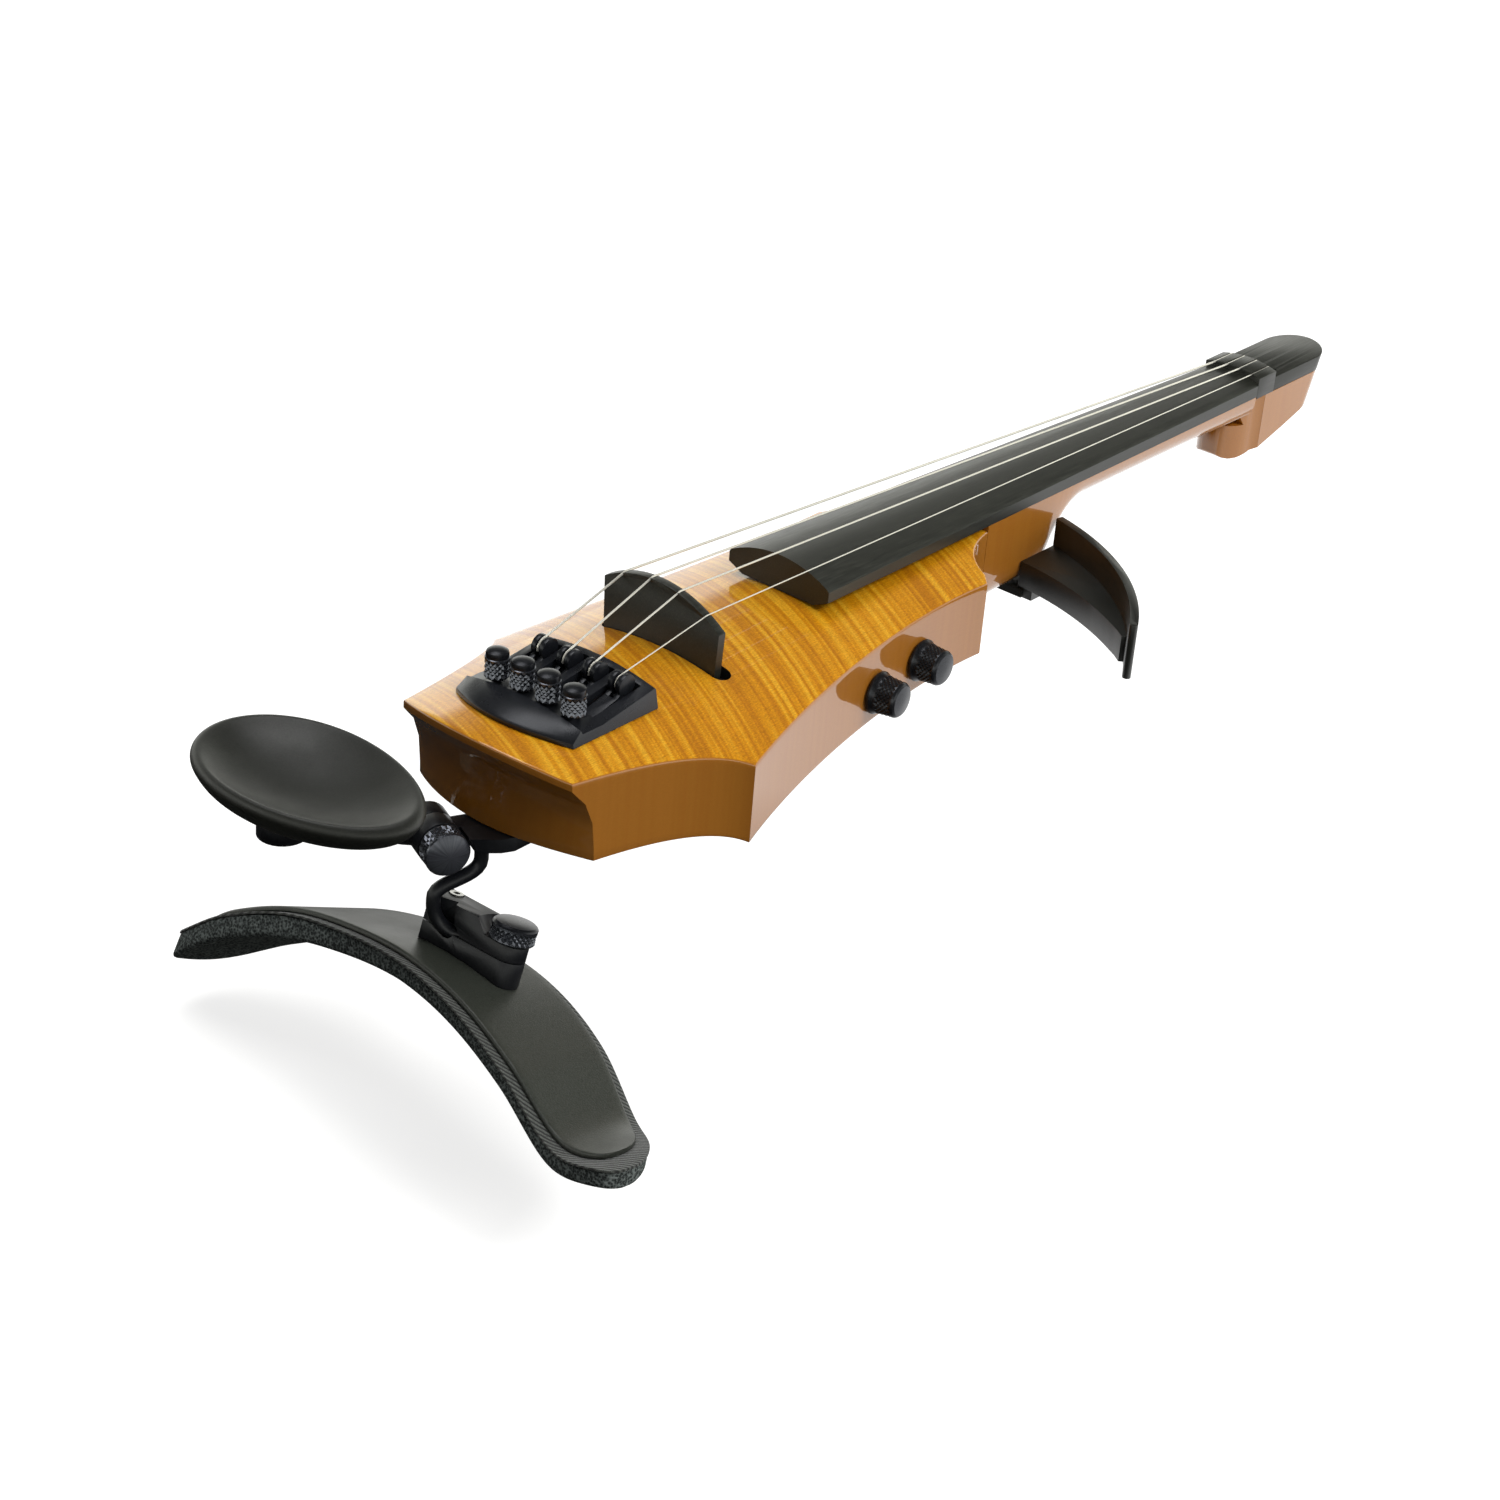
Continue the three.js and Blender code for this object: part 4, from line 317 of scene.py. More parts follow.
def stand(piece, place, axis):
    """Stands a turned piece on a point of the frame, with its axis along a direction."""
    turn = Vector(axis).to_track_quat("Z", "Y").to_matrix().to_4x4()
    piece.data.transform(Matrix.Translation(Vector(place)) @ turn)


def lofted(name, rings, closed_ends=True):
    """A skin over matching closed rings of points, given from the datum."""
    mesh = bmesh.new()
    rows = [[mesh.verts.new((Vector(point) + DATUM) * MM) for point in ring] for ring in rings]
    count = len(rows[0])
    for low, high in zip(rows, rows[1:]):
        for i in range(count):
            mesh.faces.new((low[i], low[(i + 1) % count], high[(i + 1) % count], high[i]))
    if closed_ends:
        mesh.faces.new(reversed(rows[0]))
        mesh.faces.new(rows[-1])
    bmesh.ops.remove_doubles(mesh, verts=mesh.verts, dist=0.0005 * MM)
    bmesh.ops.recalc_face_normals(mesh, faces=mesh.faces)
    data = bpy.data.meshes.new(name)
    mesh.to_mesh(data)
    mesh.free()
    piece = bpy.data.objects.new(name, data)
    bpy.context.scene.collection.objects.link(piece)
    return piece


def dress(piece, body, material, node):
    """Finishes a new piece: its body, its material, and the node that it stands for, which it hides."""
    piece.data.materials.clear()
    piece.data.materials.append(material)
    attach(piece, body)
    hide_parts(node)


# Material helpers

def srgb(code):
    """A linear colour from an sRGB hex code."""
    parts = [int(code[i:i + 2], 16) / 255 for i in (1, 3, 5)]
    linear = [c / 12.92 if c <= 0.04045 else ((c + 0.055) / 1.055) ** 2.4 for c in parts]
    return (*linear, 1)


def add_node(tree, kind, settings=None, links=None):
    node = tree.nodes.new(kind)
    for key, value in (settings or {}).items():
        if isinstance(key, int) or key in node.inputs:
            node.inputs[key].default_value = value
        else:
            setattr(node, key, value)
    for key, source in (links or {}).items():
        tree.links.new(source, node.inputs[key])
    return node


def new_material(name):
    material = bpy.data.materials.new(name)
    material.use_nodes = True
    tree = material.node_tree
    shader = tree.nodes["Principled BSDF"]
    return material, tree, shader


def set_shader(shader, values):
    for key, value in values.items():
        shader.inputs[key].default_value = value


def object_places(tree, size=(1, 1, 1), turn=(0, 0, 0)):
    """Object coordinates, turned and then counted in steps of a size in millimetres."""
    coordinates = add_node(tree, "ShaderNodeTexCoord")
    mapping = add_node(tree, "ShaderNodeMapping", {
        "vector_type": "TEXTURE", "Scale": [s * MM for s in size], "Rotation": turn,
    }, {"Vector": coordinates.outputs["Object"]})
    return mapping.outputs["Vector"]


def ramp(tree, source, stops):
    """A colour that follows a value, through (place, colour) stops."""
    node = add_node(tree, "ShaderNodeValToRGB", links={"Fac": source})
    elements = node.color_ramp.elements
    while len(elements) < len(stops):
        elements.new(0.5)
    for element, (place, colour) in zip(elements, stops):
        element.position = place
        element.color = srgb(colour)
    return node.outputs["Color"]


def grey_ramp(tree, source, stops):
    """A value that follows another: (from low, from high, to low, to high)."""
    node = add_node(tree, "ShaderNodeMapRange", {
        "From Min": stops[0], "From Max": stops[1], "To Min": stops[2], "To Max": stops[3],
    }, {"Value": source})
    return node.outputs["Result"]


def bumped(tree, shader, height, strength, distance):
    node = add_node(tree, "ShaderNodeBump", {"Strength": strength, "Distance": distance * MM},
                    {"Height": height})
    tree.links.new(node.outputs["Normal"], shader.inputs["Normal"])


# Flamed maple under thick polished lacquer: even stripes cross the grain on the slant, painted
# glints of short fibres lighten and darken the colour between them, and the coat is like glass

def lacquered_maple(name, dark, middle, light, fibre_depth, painted_glint_depth):
    material, tree, shader = new_material(name)
    slant = math.radians(-21)
    stripe_places = object_places(tree, (1.9, 110, 110), (0, 0, slant))
    stripes = add_node(tree, "ShaderNodeTexNoise", {"Scale": 1, "Detail": 1.5, "Roughness": 0.5},
                       {"Vector": stripe_places})
    broad_places = object_places(tree, (11, 140, 140), (0, 0, slant))
    broad = add_node(tree, "ShaderNodeTexNoise", {"Scale": 1, "Detail": 1}, {"Vector": broad_places})
    figure = add_node(tree, "ShaderNodeMix", {0: 0.22},
                      {2: stripes.outputs["Fac"], 3: broad.outputs["Fac"]})
    colour = ramp(tree, figure.outputs[0], [(0.38, dark), (0.5, middle), (0.62, light)])
    fibre_places = object_places(tree, (5, 0.3, 0.3))
    fibre = add_node(tree, "ShaderNodeTexNoise", {"Scale": 1, "Detail": 3, "Roughness": 0.65},
                     {"Vector": fibre_places})
    shade = grey_ramp(tree, fibre.outputs["Fac"], (0.3, 0.7, 1 - fibre_depth, 1 + fibre_depth))
    # Painted glints: fine noise lightens and darkens the colour where short fibres would catch the light
    painted_glint_places = object_places(tree, (0.9, 0.35, 0.35))
    painted_glint = add_node(tree, "ShaderNodeTexNoise", {"Scale": 1, "Detail": 1.5},
                     {"Vector": painted_glint_places})
    painted_sparkle = grey_ramp(tree, painted_glint.outputs["Fac"], (0.32, 0.72, 1 - painted_glint_depth, 1 + painted_glint_depth))
    # The fibre tone and the painted glints together scale the figure's colour
    both = add_node(tree, "ShaderNodeMath", {"operation": "MULTIPLY"}, {0: shade, 1: painted_sparkle})
    tint = add_node(tree, "ShaderNodeVectorMath", {"operation": "SCALE"},
                    {0: colour, "Scale": both.outputs[0]})
    tree.links.new(tint.outputs["Vector"], shader.inputs["Base Color"])
    set_shader(shader, {"Roughness": 0.5, "Specular IOR Level": 0.1,
                        "Coat Weight": 1, "Coat Roughness": 0.012, "Coat IOR": 1.6})
    bumped(tree, shader, fibre.outputs["Fac"], 0.08, 0.04)
    return material


# The top's figure shows as dark and bright stripes, and the sides look nearly plain
maple_top = lacquered_maple("flamed_maple_amber_lacquer", "#AD6C07", "#C18009", "#D1981F", 0.13, 0.2)
maple_side = lacquered_maple("plain_maple_red_amber_lacquer", "#A86A22", "#A96C23", "#AB6D24",
                             0.03, 0.02)


# Ebony, planed and oiled: near black with short open pores along the board

def oiled_ebony():
    material, tree, shader = new_material("oiled_ebony")
    fibre_places = object_places(tree, (16, 0.5, 0.5))
    fibre = add_node(tree, "ShaderNodeTexNoise", {"Scale": 1, "Detail": 4, "Roughness": 0.65},
                     {"Vector": fibre_places})
    colour = ramp(tree, fibre.outputs["Fac"], [(0.3, "#191A16"), (0.55, "#252620"), (0.72, "#35372F")])
    tree.links.new(colour, shader.inputs["Base Color"])
    gloss = grey_ramp(tree, fibre.outputs["Fac"], (0.3, 0.7, 0.34, 0.5))
    tree.links.new(gloss, shader.inputs["Roughness"])
    bumped(tree, shader, fibre.outputs["Fac"], 0.35, 0.06)
    return material


ebony = oiled_ebony()


# Metals and plastics share one layout: a fine grain moves the colour and the surface, and broad
# handling marks move the gloss

def grained(name, colours, roughness, grit, bump, metallic=0.0, ior=None):
    material, tree, shader = new_material(name)
    mark_width = 24
    places = object_places(tree)
    grain = add_node(tree, "ShaderNodeTexNoise", {"Scale": 1 / grit, "Detail": 3, "Roughness": 0.6},
                     {"Vector": places})
    wear = add_node(tree, "ShaderNodeTexNoise", {"Scale": 1 / mark_width, "Detail": 4},
                    {"Vector": places})
    colour = ramp(tree, grain.outputs["Fac"], [(0.3, colours[0]), (0.7, colours[1])])
    tree.links.new(colour, shader.inputs["Base Color"])
    gloss = grey_ramp(tree, wear.outputs["Fac"], (0.3, 0.7, roughness * 0.82, roughness * 1.2))
    tree.links.new(gloss, shader.inputs["Roughness"])
    shader.inputs["Metallic"].default_value = metallic
    if ior:
        shader.inputs["IOR"].default_value = ior
    bumped(tree, shader, grain.outputs["Fac"], bump, grit * 0.3)
    return material


# Plated die-cast parts: black with a soft sheen along their rounded edges
black_nickel = grained("black_nickel_plate", ("#1A1C20", "#26282D"), 0.3, 0.35, 0.12, metallic=0.4)
# Anodised bars and rod: blacker and more matte than the plate
black_anodised = grained("black_anodised_aluminium", ("#111216", "#1A1C21"), 0.4, 0.3, 0.2,
                         metallic=0.3)
# Cut knurls: each diamond throws a small blue-grey glint
knurled_black = grained("knurled_black_nickel", ("#4A4C52", "#6A6D75"), 0.26, 0.5, 0.03,
                        metallic=0.85)
# Pressed knurls on the two controls: darker, with a low sparkle
control_black = grained("knurled_satin_black_plate", ("#2A2B2E", "#3A3C40"), 0.32, 0.5, 0.05,
                        metallic=0.75)
# Domed caps, turned and plated: smooth black over the bright knurl
cap_black = grained("polished_black_nickel", ("#1A1B1F", "#26282D"), 0.3, 0.4, 0.04, metallic=0.6)
# Screws: pale grey, the only bright metal apart from the strings
zinc_steel = grained("zinc_plated_steel", ("#A7A7A4", "#C4C4BF"), 0.28, 0.4, 0.1, metallic=1.0)
# Flat-wound strings: a warm white line
string_steel = grained("flat_wound_string_steel", ("#D8D5C9", "#F2EFE4"), 0.34, 0.25, 0.15,
                       metallic=0.6)
# Moulded chin rest: a fine eggshell grain that spreads the light over the dish
chin_plastic = grained("chin_rest_matte_abs", ("#171814", "#22231E"), 0.48, 0.6, 0.16, ior=1.5)
# Moulded arm: smoother, with a longer highlight on its curve
arm_plastic = grained("bout_arm_satin_nylon", ("#181916", "#242521"), 0.34, 0.45, 0.16, ior=1.5)
# Back covers: flat black with little shine
cover_plastic = grained("cover_matte_abs", ("#191918", "#242422"), 0.5, 0.5, 0.2, ior=1.5)
# Rest plate: greenish grey with a pebbled mould grain
plate_plastic = grained("rest_plate_textured_abs", ("#252822", "#383B35"), 0.42, 0.55, 0.4, ior=1.5)
# Pickup strip: smooth dark film
pickup_film = grained("pickup_film", ("#17181A", "#24262A"), 0.4, 0.5, 0.1, ior=1.5)
# Painted shade inside the bridge slot: its walls are drawn near black
painted_slot_shade = grained("painted_shade_in_slot", ("#0E0E0C", "#161613"), 0.6, 0.5, 0.1, ior=1.5)
# Solder mask on the board: deep glossy green
circuit_board = grained("green_circuit_board", ("#0E4525", "#1A6336"), 0.35, 1.5, 0.2, ior=1.5)
# Battery can: painted steel, mid grey
battery_case = grained("battery_case_enamel", ("#54575C", "#6A6D73"), 0.35, 1.0, 0.1, metallic=0.4)


# Open-cell foam: broken cells give it a salt and pepper surface with deep pits; the colour darkens with
# the pits' depth, partly the foam's own speckle and partly painted shade

def open_cell_foam():
    material, tree, shader = new_material("open_cell_foam")
    places = object_places(tree)
    cell = 0.85
    patch = 1.7
    cells = add_node(tree, "ShaderNodeTexVoronoi", {"Scale": 1 / cell, "Randomness": 1},
                     {"Vector": places})
    patches = add_node(tree, "ShaderNodeTexNoise", {"Scale": 1 / patch, "Detail": 4, "Roughness": 0.7},
                       {"Vector": places})
    mixed = add_node(tree, "ShaderNodeMath", {"operation": "MULTIPLY"},
                     {0: cells.outputs["Distance"], 1: patches.outputs["Fac"]})
    # The pits are drawn darker than the cell walls: the foam's grey speckle with painted shade in its
    # pits
    colour = ramp(tree, mixed.outputs[0], [(0.04, "#1A1D1C"), (0.2, "#434846"), (0.4, "#7E8582")])
    tree.links.new(colour, shader.inputs["Base Color"])
    set_shader(shader, {"Roughness": 0.95, "Specular IOR Level": 0.2})
    bumped(tree, shader, mixed.outputs[0], 1, 0.5)
    return material


# Ribbed facing: a knitted layer whose ribs cross it on the slant, with painted shade in the grooves
# between the ribs

def ribbed_facing():
    material, tree, shader = new_material("ribbed_knit_facing")
    rib = 1.5
    thread = 0.4
    slant = 0.5
    places = object_places(tree, turn=(0, 0, slant))
    waves = add_node(tree, "ShaderNodeTexWave", {
        "wave_type": "BANDS", "bands_direction": "X", "Scale": 2 * math.pi / (20 * rib),
        "Distortion": 0.6, "Detail": 1, "Detail Scale": 2}, {"Vector": places})
    threads = add_node(tree, "ShaderNodeTexNoise", {"Scale": 1 / thread, "Detail": 2},
                       {"Vector": places})
    mixed = add_node(tree, "ShaderNodeMath", {"operation": "MULTIPLY"},
                     {0: waves.outputs["Fac"], 1: threads.outputs["Fac"]})
    # Low places between the ribs are drawn darker: the threads' own tone with painted shade in the
    # grooves
    colour = ramp(tree, mixed.outputs[0], [(0.05, "#1A1C1A"), (0.6, "#555953")])
    tree.links.new(colour, shader.inputs["Base Color"])
    set_shader(shader, {"Roughness": 0.8, "Sheen Weight": 0.3})
    bumped(tree, shader, mixed.outputs[0], 0.9, 0.4)
    return material


foam = open_cell_foam()
facing = ribbed_facing()


# A turned end face: fine rings round the knob's own axis, and a faint fan of painted sheen across them,
# lighter and darker by the angle round the axis

def spun_face(name, place, axis):
    material, tree, shader = new_material(name)
    turn = Vector(axis).to_track_quat("Z", "Y").to_matrix().to_4x4()
    back = (Matrix.Translation(Vector(place)) @ turn).inverted()
    coordinates = add_node(tree, "ShaderNodeTexCoord")
    mapping = add_node(tree, "ShaderNodeMapping", {
        "Location": back.to_translation(), "Rotation": back.to_euler(),
    }, {"Vector": coordinates.outputs["Object"]})
    split = add_node(tree, "ShaderNodeSeparateXYZ", links={"Vector": mapping.outputs["Vector"]})
    around = add_node(tree, "ShaderNodeMath", {"operation": "ARCTAN2"},
                      {0: split.outputs["Y"], 1: split.outputs["X"]})
    # Painted sheen: a fan of lighter and darker sectors round the axis, drawn in the colour
    painted_sheen_spokes = add_node(tree, "ShaderNodeTexNoise", {
        "noise_dimensions": "1D", "Scale": 6, "Detail": 5}, {"W": around.outputs[0]})
    colour = ramp(tree, painted_sheen_spokes.outputs["Fac"], [(0.3, "#45474D"), (0.7, "#585B62")])
    tree.links.new(colour, shader.inputs["Base Color"])
    flat = add_node(tree, "ShaderNodeVectorMath", {"operation": "MULTIPLY", 1: (1, 1, 0)},
                    {0: mapping.outputs["Vector"]})
    reach = add_node(tree, "ShaderNodeVectorMath", {"operation": "LENGTH"},
                     {0: flat.outputs["Vector"]})
    ring = 0.22
    stretch = add_node(tree, "ShaderNodeMath", {
        "operation": "MULTIPLY", 1: 2 * math.pi / (ring * MM)}, {0: reach.outputs["Value"]})
    waves = add_node(tree, "ShaderNodeMath", {"operation": "SINE"}, {0: stretch.outputs[0]})
    set_shader(shader, {"Metallic": 0.5, "Roughness": 0.3})
    bumped(tree, shader, waves.outputs[0], 0.25, 0.02)
    return material


# Body: a skin whose rows follow the outline, with the hollow under the tail's lip

def bezier(points, share):
    rest = 1 - share
    if len(points) == 3:
        weights = (rest ** 2, 2 * rest * share, share ** 2)
    else:
        weights = (rest ** 3, 3 * rest ** 2 * share, 3 * rest * share ** 2, share ** 3)
    return Vector([sum(w * p[k] for w, p in zip(weights, points)) for k in range(2)])


tail_radius = (TAIL_HALF_WIDTH ** 2 + TAIL_BOW ** 2) / (2 * TAIL_BOW)
tail_centre = Vector((TAIL_X + tail_radius, 0))
tail_corner = (TAIL_X + TAIL_BOW, TAIL_HALF_WIDTH)
flank = [tail_corner, (-30.3, 42.4), LOWER_CORNER]
waist = [LOWER_CORNER, (20, 44.5), (80, 34), UPPER_CORNER]
corner_end = (UPPER_CORNER[0] + CORNER_FLAT, UPPER_CORNER[1] - CORNER_FLAT)
cove = [corner_end, (130, 20.5), NECK_JOIN]


def top_height(y):
    return math.sqrt(TOP_ARCH_RADIUS ** 2 - y * y) - TOP_ARCH_RADIUS


def back_height(x, y):
    share = abs(y) / LOWER_CORNER[1]
    droop = BACK_DROOP * (0.24 * share ** 2 + 0.76 * share ** 4)
    return -BODY_THICKNESS + BACK_SLOPE_SHARE * x - droop


def undercut_at(depth):
    """How far the tail face has drawn in at a depth under the crown."""
    shares = [(0, 0), (0.22, 0.55), (0.5, 0.85), (1, 1)]
    down = min(max((depth - TAIL_LIP) / TAIL_UNDERCUT_HEIGHT, 0), 1)
    for (d0, s0), (d1, s1) in zip(shares, shares[1:]):
        if down <= d1:
            return TAIL_UNDERCUT * (s0 + (s1 - s0) * (down - d0) / (d1 - d0))
    return TAIL_UNDERCUT


def flank_start(radius):
    """Where the flank's curve meets a tail arc of this radius, by halving."""
    low, high = 0.0, 1.0
    halvings = 30
    for _ in range(halvings):
        middle = (low + high) / 2
        if (bezier(flank, middle) - tail_centre).length > radius:
            low = middle
        else:
            high = middle
    return low


def half_outline(undercut):
    """Half of the outline, from the middle of the tail to the neck, with the tail drawn in."""
    radius = tail_radius - undercut
    start = flank_start(radius) if undercut else 0.0
    first = bezier(flank, start)
    turn = math.atan2(first.y, tail_centre.x - first.x)
    points = []
    tail_steps, flank_steps, waist_steps, cove_steps = 20, 22, 56, 18
    for i in range(tail_steps):
        angle = turn * i / tail_steps
        points.append(tail_centre + Vector((-math.cos(angle), math.sin(angle))) * radius)
    points += [bezier(flank, start + (1 - start) * i / flank_steps) for i in range(flank_steps)]
    points += [bezier(waist, i / waist_steps) for i in range(waist_steps)]
    points.append(Vector(UPPER_CORNER))
    points += [bezier(cove, i / cove_steps) for i in range(cove_steps + 1)]
    return points


def whole_outline(undercut, inset=0.0):
    """The closed outline, moved inwards by an inset. At sharp corners the move is held back."""
    half = half_outline(undercut)
    points = half + [Vector((p.x, -p.y)) for p in reversed(half[1:])]
    if not inset:
        return points
    least_cosine = 0.5
    moved = []
    for i, point in enumerate(points):
        before = (point - points[i - 1]).normalized()
        after = (points[(i + 1) % len(points)] - point).normalized()
        normals = [Vector((-before.y, before.x)), Vector((-after.y, after.x))]
        middle = (normals[0] + normals[1]).normalized()
        stretch = 1 / max(middle.dot(normals[0]), least_cosine)
        moved.append(point - middle * inset * stretch)
    return moved


def face_rings(edge, height_at):
    """Rings from the spine of the body to the edge of its top or back."""
    tail_end, neck_end = TAIL_X + 22, NECK_JOIN[0] - 6
    spine = [Vector((min(max(p.x, tail_end), neck_end), 0)) for p in whole_outline(0)]
    steps = 14
    rings = []
    for step in range(steps + 1):
        row = [s.lerp(e, step / steps) for s, e in zip(spine, edge)]
        rings.append([(p.x, p.y, height_at(p.x, p.y)) for p in row])
    return rings


def rounded(angle):
    """How far in and how far down the rounded edge is at an angle of its arc."""
    turn = math.radians(angle)
    return EDGE_ROUND * (1 - math.sin(turn)), EDGE_ROUND * (1 - math.cos(turn))


def make_body():
    rings = face_rings(whole_outline(0, EDGE_ROUND), lambda x, y: top_height(y))
    for angle in (30, 60, 90):
        inset, drop = rounded(angle)
        rings.append([(p.x, p.y, top_height(p.y) - drop) for p in whole_outline(0, inset)])
    outline = whole_outline(0)
    depth_rows = [2, 3, 4, 5.5, 7.5, 9.6, 12, 15, 18, 22, 26, 29]
    wall_height = 26
    for depth in depth_rows:
        sunk = depth / depth_rows[-1] * wall_height
        wall = whole_outline(undercut_at(depth))
        rings.append([(p.x, p.y, top_height(o.y) - sunk) for p, o in zip(wall, outline)])
    deepest = TAIL_UNDERCUT * 0.97
    for angle in (90, 60, 30, 0):
        inset, rise = rounded(angle)
        rings.append([(p.x, p.y, back_height(p.x, p.y) + rise) for p in whole_outline(deepest, inset)])
    rings += reversed(face_rings(whole_outline(deepest, EDGE_ROUND), back_height))
    piece = lofted("lacquered_body", rings, closed_ends=False)
    smooth(piece, 30)
    return piece


def joint_place(name):
    joint = next(j for j in frame["joints"] if j["name"] == name)
    return Vector(joint["pos_m"]), Vector(joint["axis"])


def bore_tools():
    """The bores of the two controls, and the jack's bore with the seat of its nut."""
    control_bore, jack_bore, nut_seat, nut_gap = 3.8, 5.4, 8, 0.3
    outwards, inwards = 4, 10
    jack_inner, jack_outer, nut_outer = 18, 44, 48
    tools = []
    for name in ("volume", "tone"):
        place, axis = joint_place(f"{name}_turn")
        local = place / MM - DATUM
        tools.append(pin(local + axis * outwards, local - axis * inwards, control_bore))
    jack_low, jack_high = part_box("output_jack")
    x = (jack_low.x + jack_high.x) / 2 / MM - DATUM.x
    z = (jack_low.z + jack_high.z) / 2 / MM - DATUM.z
    tools.append(pin((x, jack_inner, z), (x, jack_outer, z), jack_bore))
    nut_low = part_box("jack_nut")[0].y / MM - nut_gap
    tools.append(pin((x, nut_low, z), (x, nut_outer, z), nut_seat))
    return tools


def carve_body(piece):
    """The bridge slot, the pocket under the tailpiece, the hollows and the bores."""
    middle = (SLOT_LOW + SLOT_HIGH) / 2
    radius = (SLOT_HIGH - SLOT_LOW) / 2
    tools = [box((SLOT_LOW, -SLOT_HALF_LENGTH, -SLOT_DEPTH), (SLOT_HIGH, SLOT_HALF_LENGTH, OVER_TOP))]
    for end in (-SLOT_HALF_LENGTH, SLOT_HALF_LENGTH):
        tools.append(pin((middle, end, -SLOT_DEPTH), (middle, end, OVER_TOP), radius))
    tools += [box(low, high) for low, high in BODY_CUTS.values()]
    tools += bore_tools()
    for tool in tools:
        cut_away(piece, tool)
    smooth(piece, 30)


def finish_body(piece):
    """Plain maple on the walls and the back, and painted shade, near black, on the walls of the slot."""
    dress(piece, "instrument", maple_top, "body")
    piece.data.materials.append(maple_side)
    piece.data.materials.append(painted_slot_shade)
    painted_shade_low, painted_shade_high, painted_shade_reach, painted_shade_depth = -3, 6, 27, 7
    skin = 0.5
    least_rise = 0.75
    for face in piece.data.polygons:
        place = face.center / MM - DATUM
        # Faces on the walls of the bridge slot get the near-black painted shade
        sunk = abs(place.y) < painted_shade_reach and -painted_shade_depth < place.z < top_height(place.y) - skin
        if sunk and painted_shade_low < place.x < painted_shade_high:
            face.material_index = 2
        elif face.normal.z < least_rise:
            face.material_index = 1


body = make_body()
carve_body(body)
finish_body(body)


# Knurled knobs. The real diamonds are about half as wide, too fine to show at this scale, so they
# are drawn as coarse as they need to show

# Edges that bend by more degrees than this stay sharp on the knobs
CRISP = 20


def knurl_count(radius, pitch=1.9):
    return 2 * round(math.pi * radius * 2 / pitch)


def polish_cap(piece, material, axis, start):
    """Gives the faces past a place along the knob's axis the finish of its cap."""
    piece.data.materials.append(material)
    for face in piece.data.polygons:
        if face.center.dot(axis) / MM > start:
            face.material_index = 1


def make_tuner_knobs():
    """One knob, drawn with its underside at the origin and copied to the four tuners. Each copy's
    screw reaches down as far as its own node does."""
    low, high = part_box("tuner_knob_g")
    radius = (high.x - low.x) / 2 / MM
    screw, height, chamfer = 1.5, 9.6, 0.5
    cap, groove, brow = 2.8, 0.3, 1.4
    dome = [(0.88, 0.75), (0.7, 0.36), (0.45, 0.12), (0.15, 0)]
    profile = [
        (screw, -screw), (screw, 0), (radius - chamfer, 0), (radius, chamfer), (radius, height - cap),
        (radius - groove, height - cap + 0.2), (radius - groove, height - brow)]
    profile += [(radius * share, height - drop) for share, drop in dome]
    model = turned("tuner_knob_model", profile, knurl_count(radius), (3, 7, 0.42))
    smooth(model, CRISP)
    up = Vector((0, 0, 1))
    for string in "gdae":
        low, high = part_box(f"tuner_knob_{string}")
        piece = copied(model, f"tuner_knob_{string}_knurled")
        for vertex in piece.data.vertices:
            if vertex.co.z < 0:
                vertex.co.z = low.z - (high.z - height * MM)
        stand(piece, ((low.x + high.x) / 2, (low.y + high.y) / 2, high.z - height * MM), up)
        dress(piece, f"tuner_knob_{string}", knurled_black, f"tuner_knob_{string}")
        polish_cap(piece, cap_black, up, high.z / MM - cap + 0.1)
    bpy.data.objects.remove(model)


def make_control_knobs():
    """One flanged knob, drawn along Z and copied to the volume and the tone."""
    bore, bore_end = 3.2, 2.4
    foot, flange, radius, length = 0.9, 7.3, 6.4, 10.8
    profile = [
        (bore, length - bore_end), (bore, foot), (flange, foot), (flange, foot + 0.7),
        (flange - 0.4, foot + 1.2), (radius + 0.15, foot + 2.2), (radius - 0.35, length - 1.6),
        (radius - 0.7, length - 0.9), (radius - 1.3, length - 0.4), (radius * 0.5, length - 0.05),
        (radius * 0.12, length + 0.2)]
    model = turned("control_knob_model", profile, knurl_count(radius, 1.7), (5, 8, 0.36))
    smooth(model, CRISP)
    for name in ("volume", "tone"):
        piece = copied(model, f"{name}_knob_knurled")
        stand(piece, *joint_place(f"{name}_turn"))
        dress(piece, f"{name}_knob", control_black, f"{name}_knob")
    bpy.data.objects.remove(model)


def make_clamp_knob():
    place, axis = joint_place("clamp_knob_turn")
    bolt, bolt_end = 2.4, -12
    radius, start, length, chamfer = 7.3, 7.3, 7.2, 0.6
    end = start + length
    profile = [
        (bolt, bolt_end), (bolt, start), (radius - chamfer, start), (radius, start + chamfer),
        (radius, end - 1.3), (radius - 0.3, end - 0.8), (radius - 0.9, end - 0.45),
        (radius * 0.75, end - 0.05), (radius * 0.5, end + 0.5), (radius * 0.25, end + 0.85),
        (radius * 0.04, end + 1)]
    piece = turned("clamp_knob_knurled", profile, knurl_count(radius), (3, 5, 0.5))
    stand(piece, place, axis)
    smooth(piece, CRISP)
    dress(piece, "clamp_knob", knurled_black, "clamp_knob")
    spun = spun_face("spun_black_nickel_painted_sheen", place, axis)
    polish_cap(piece, spun, axis, place.dot(axis) / MM + end - 0.75)


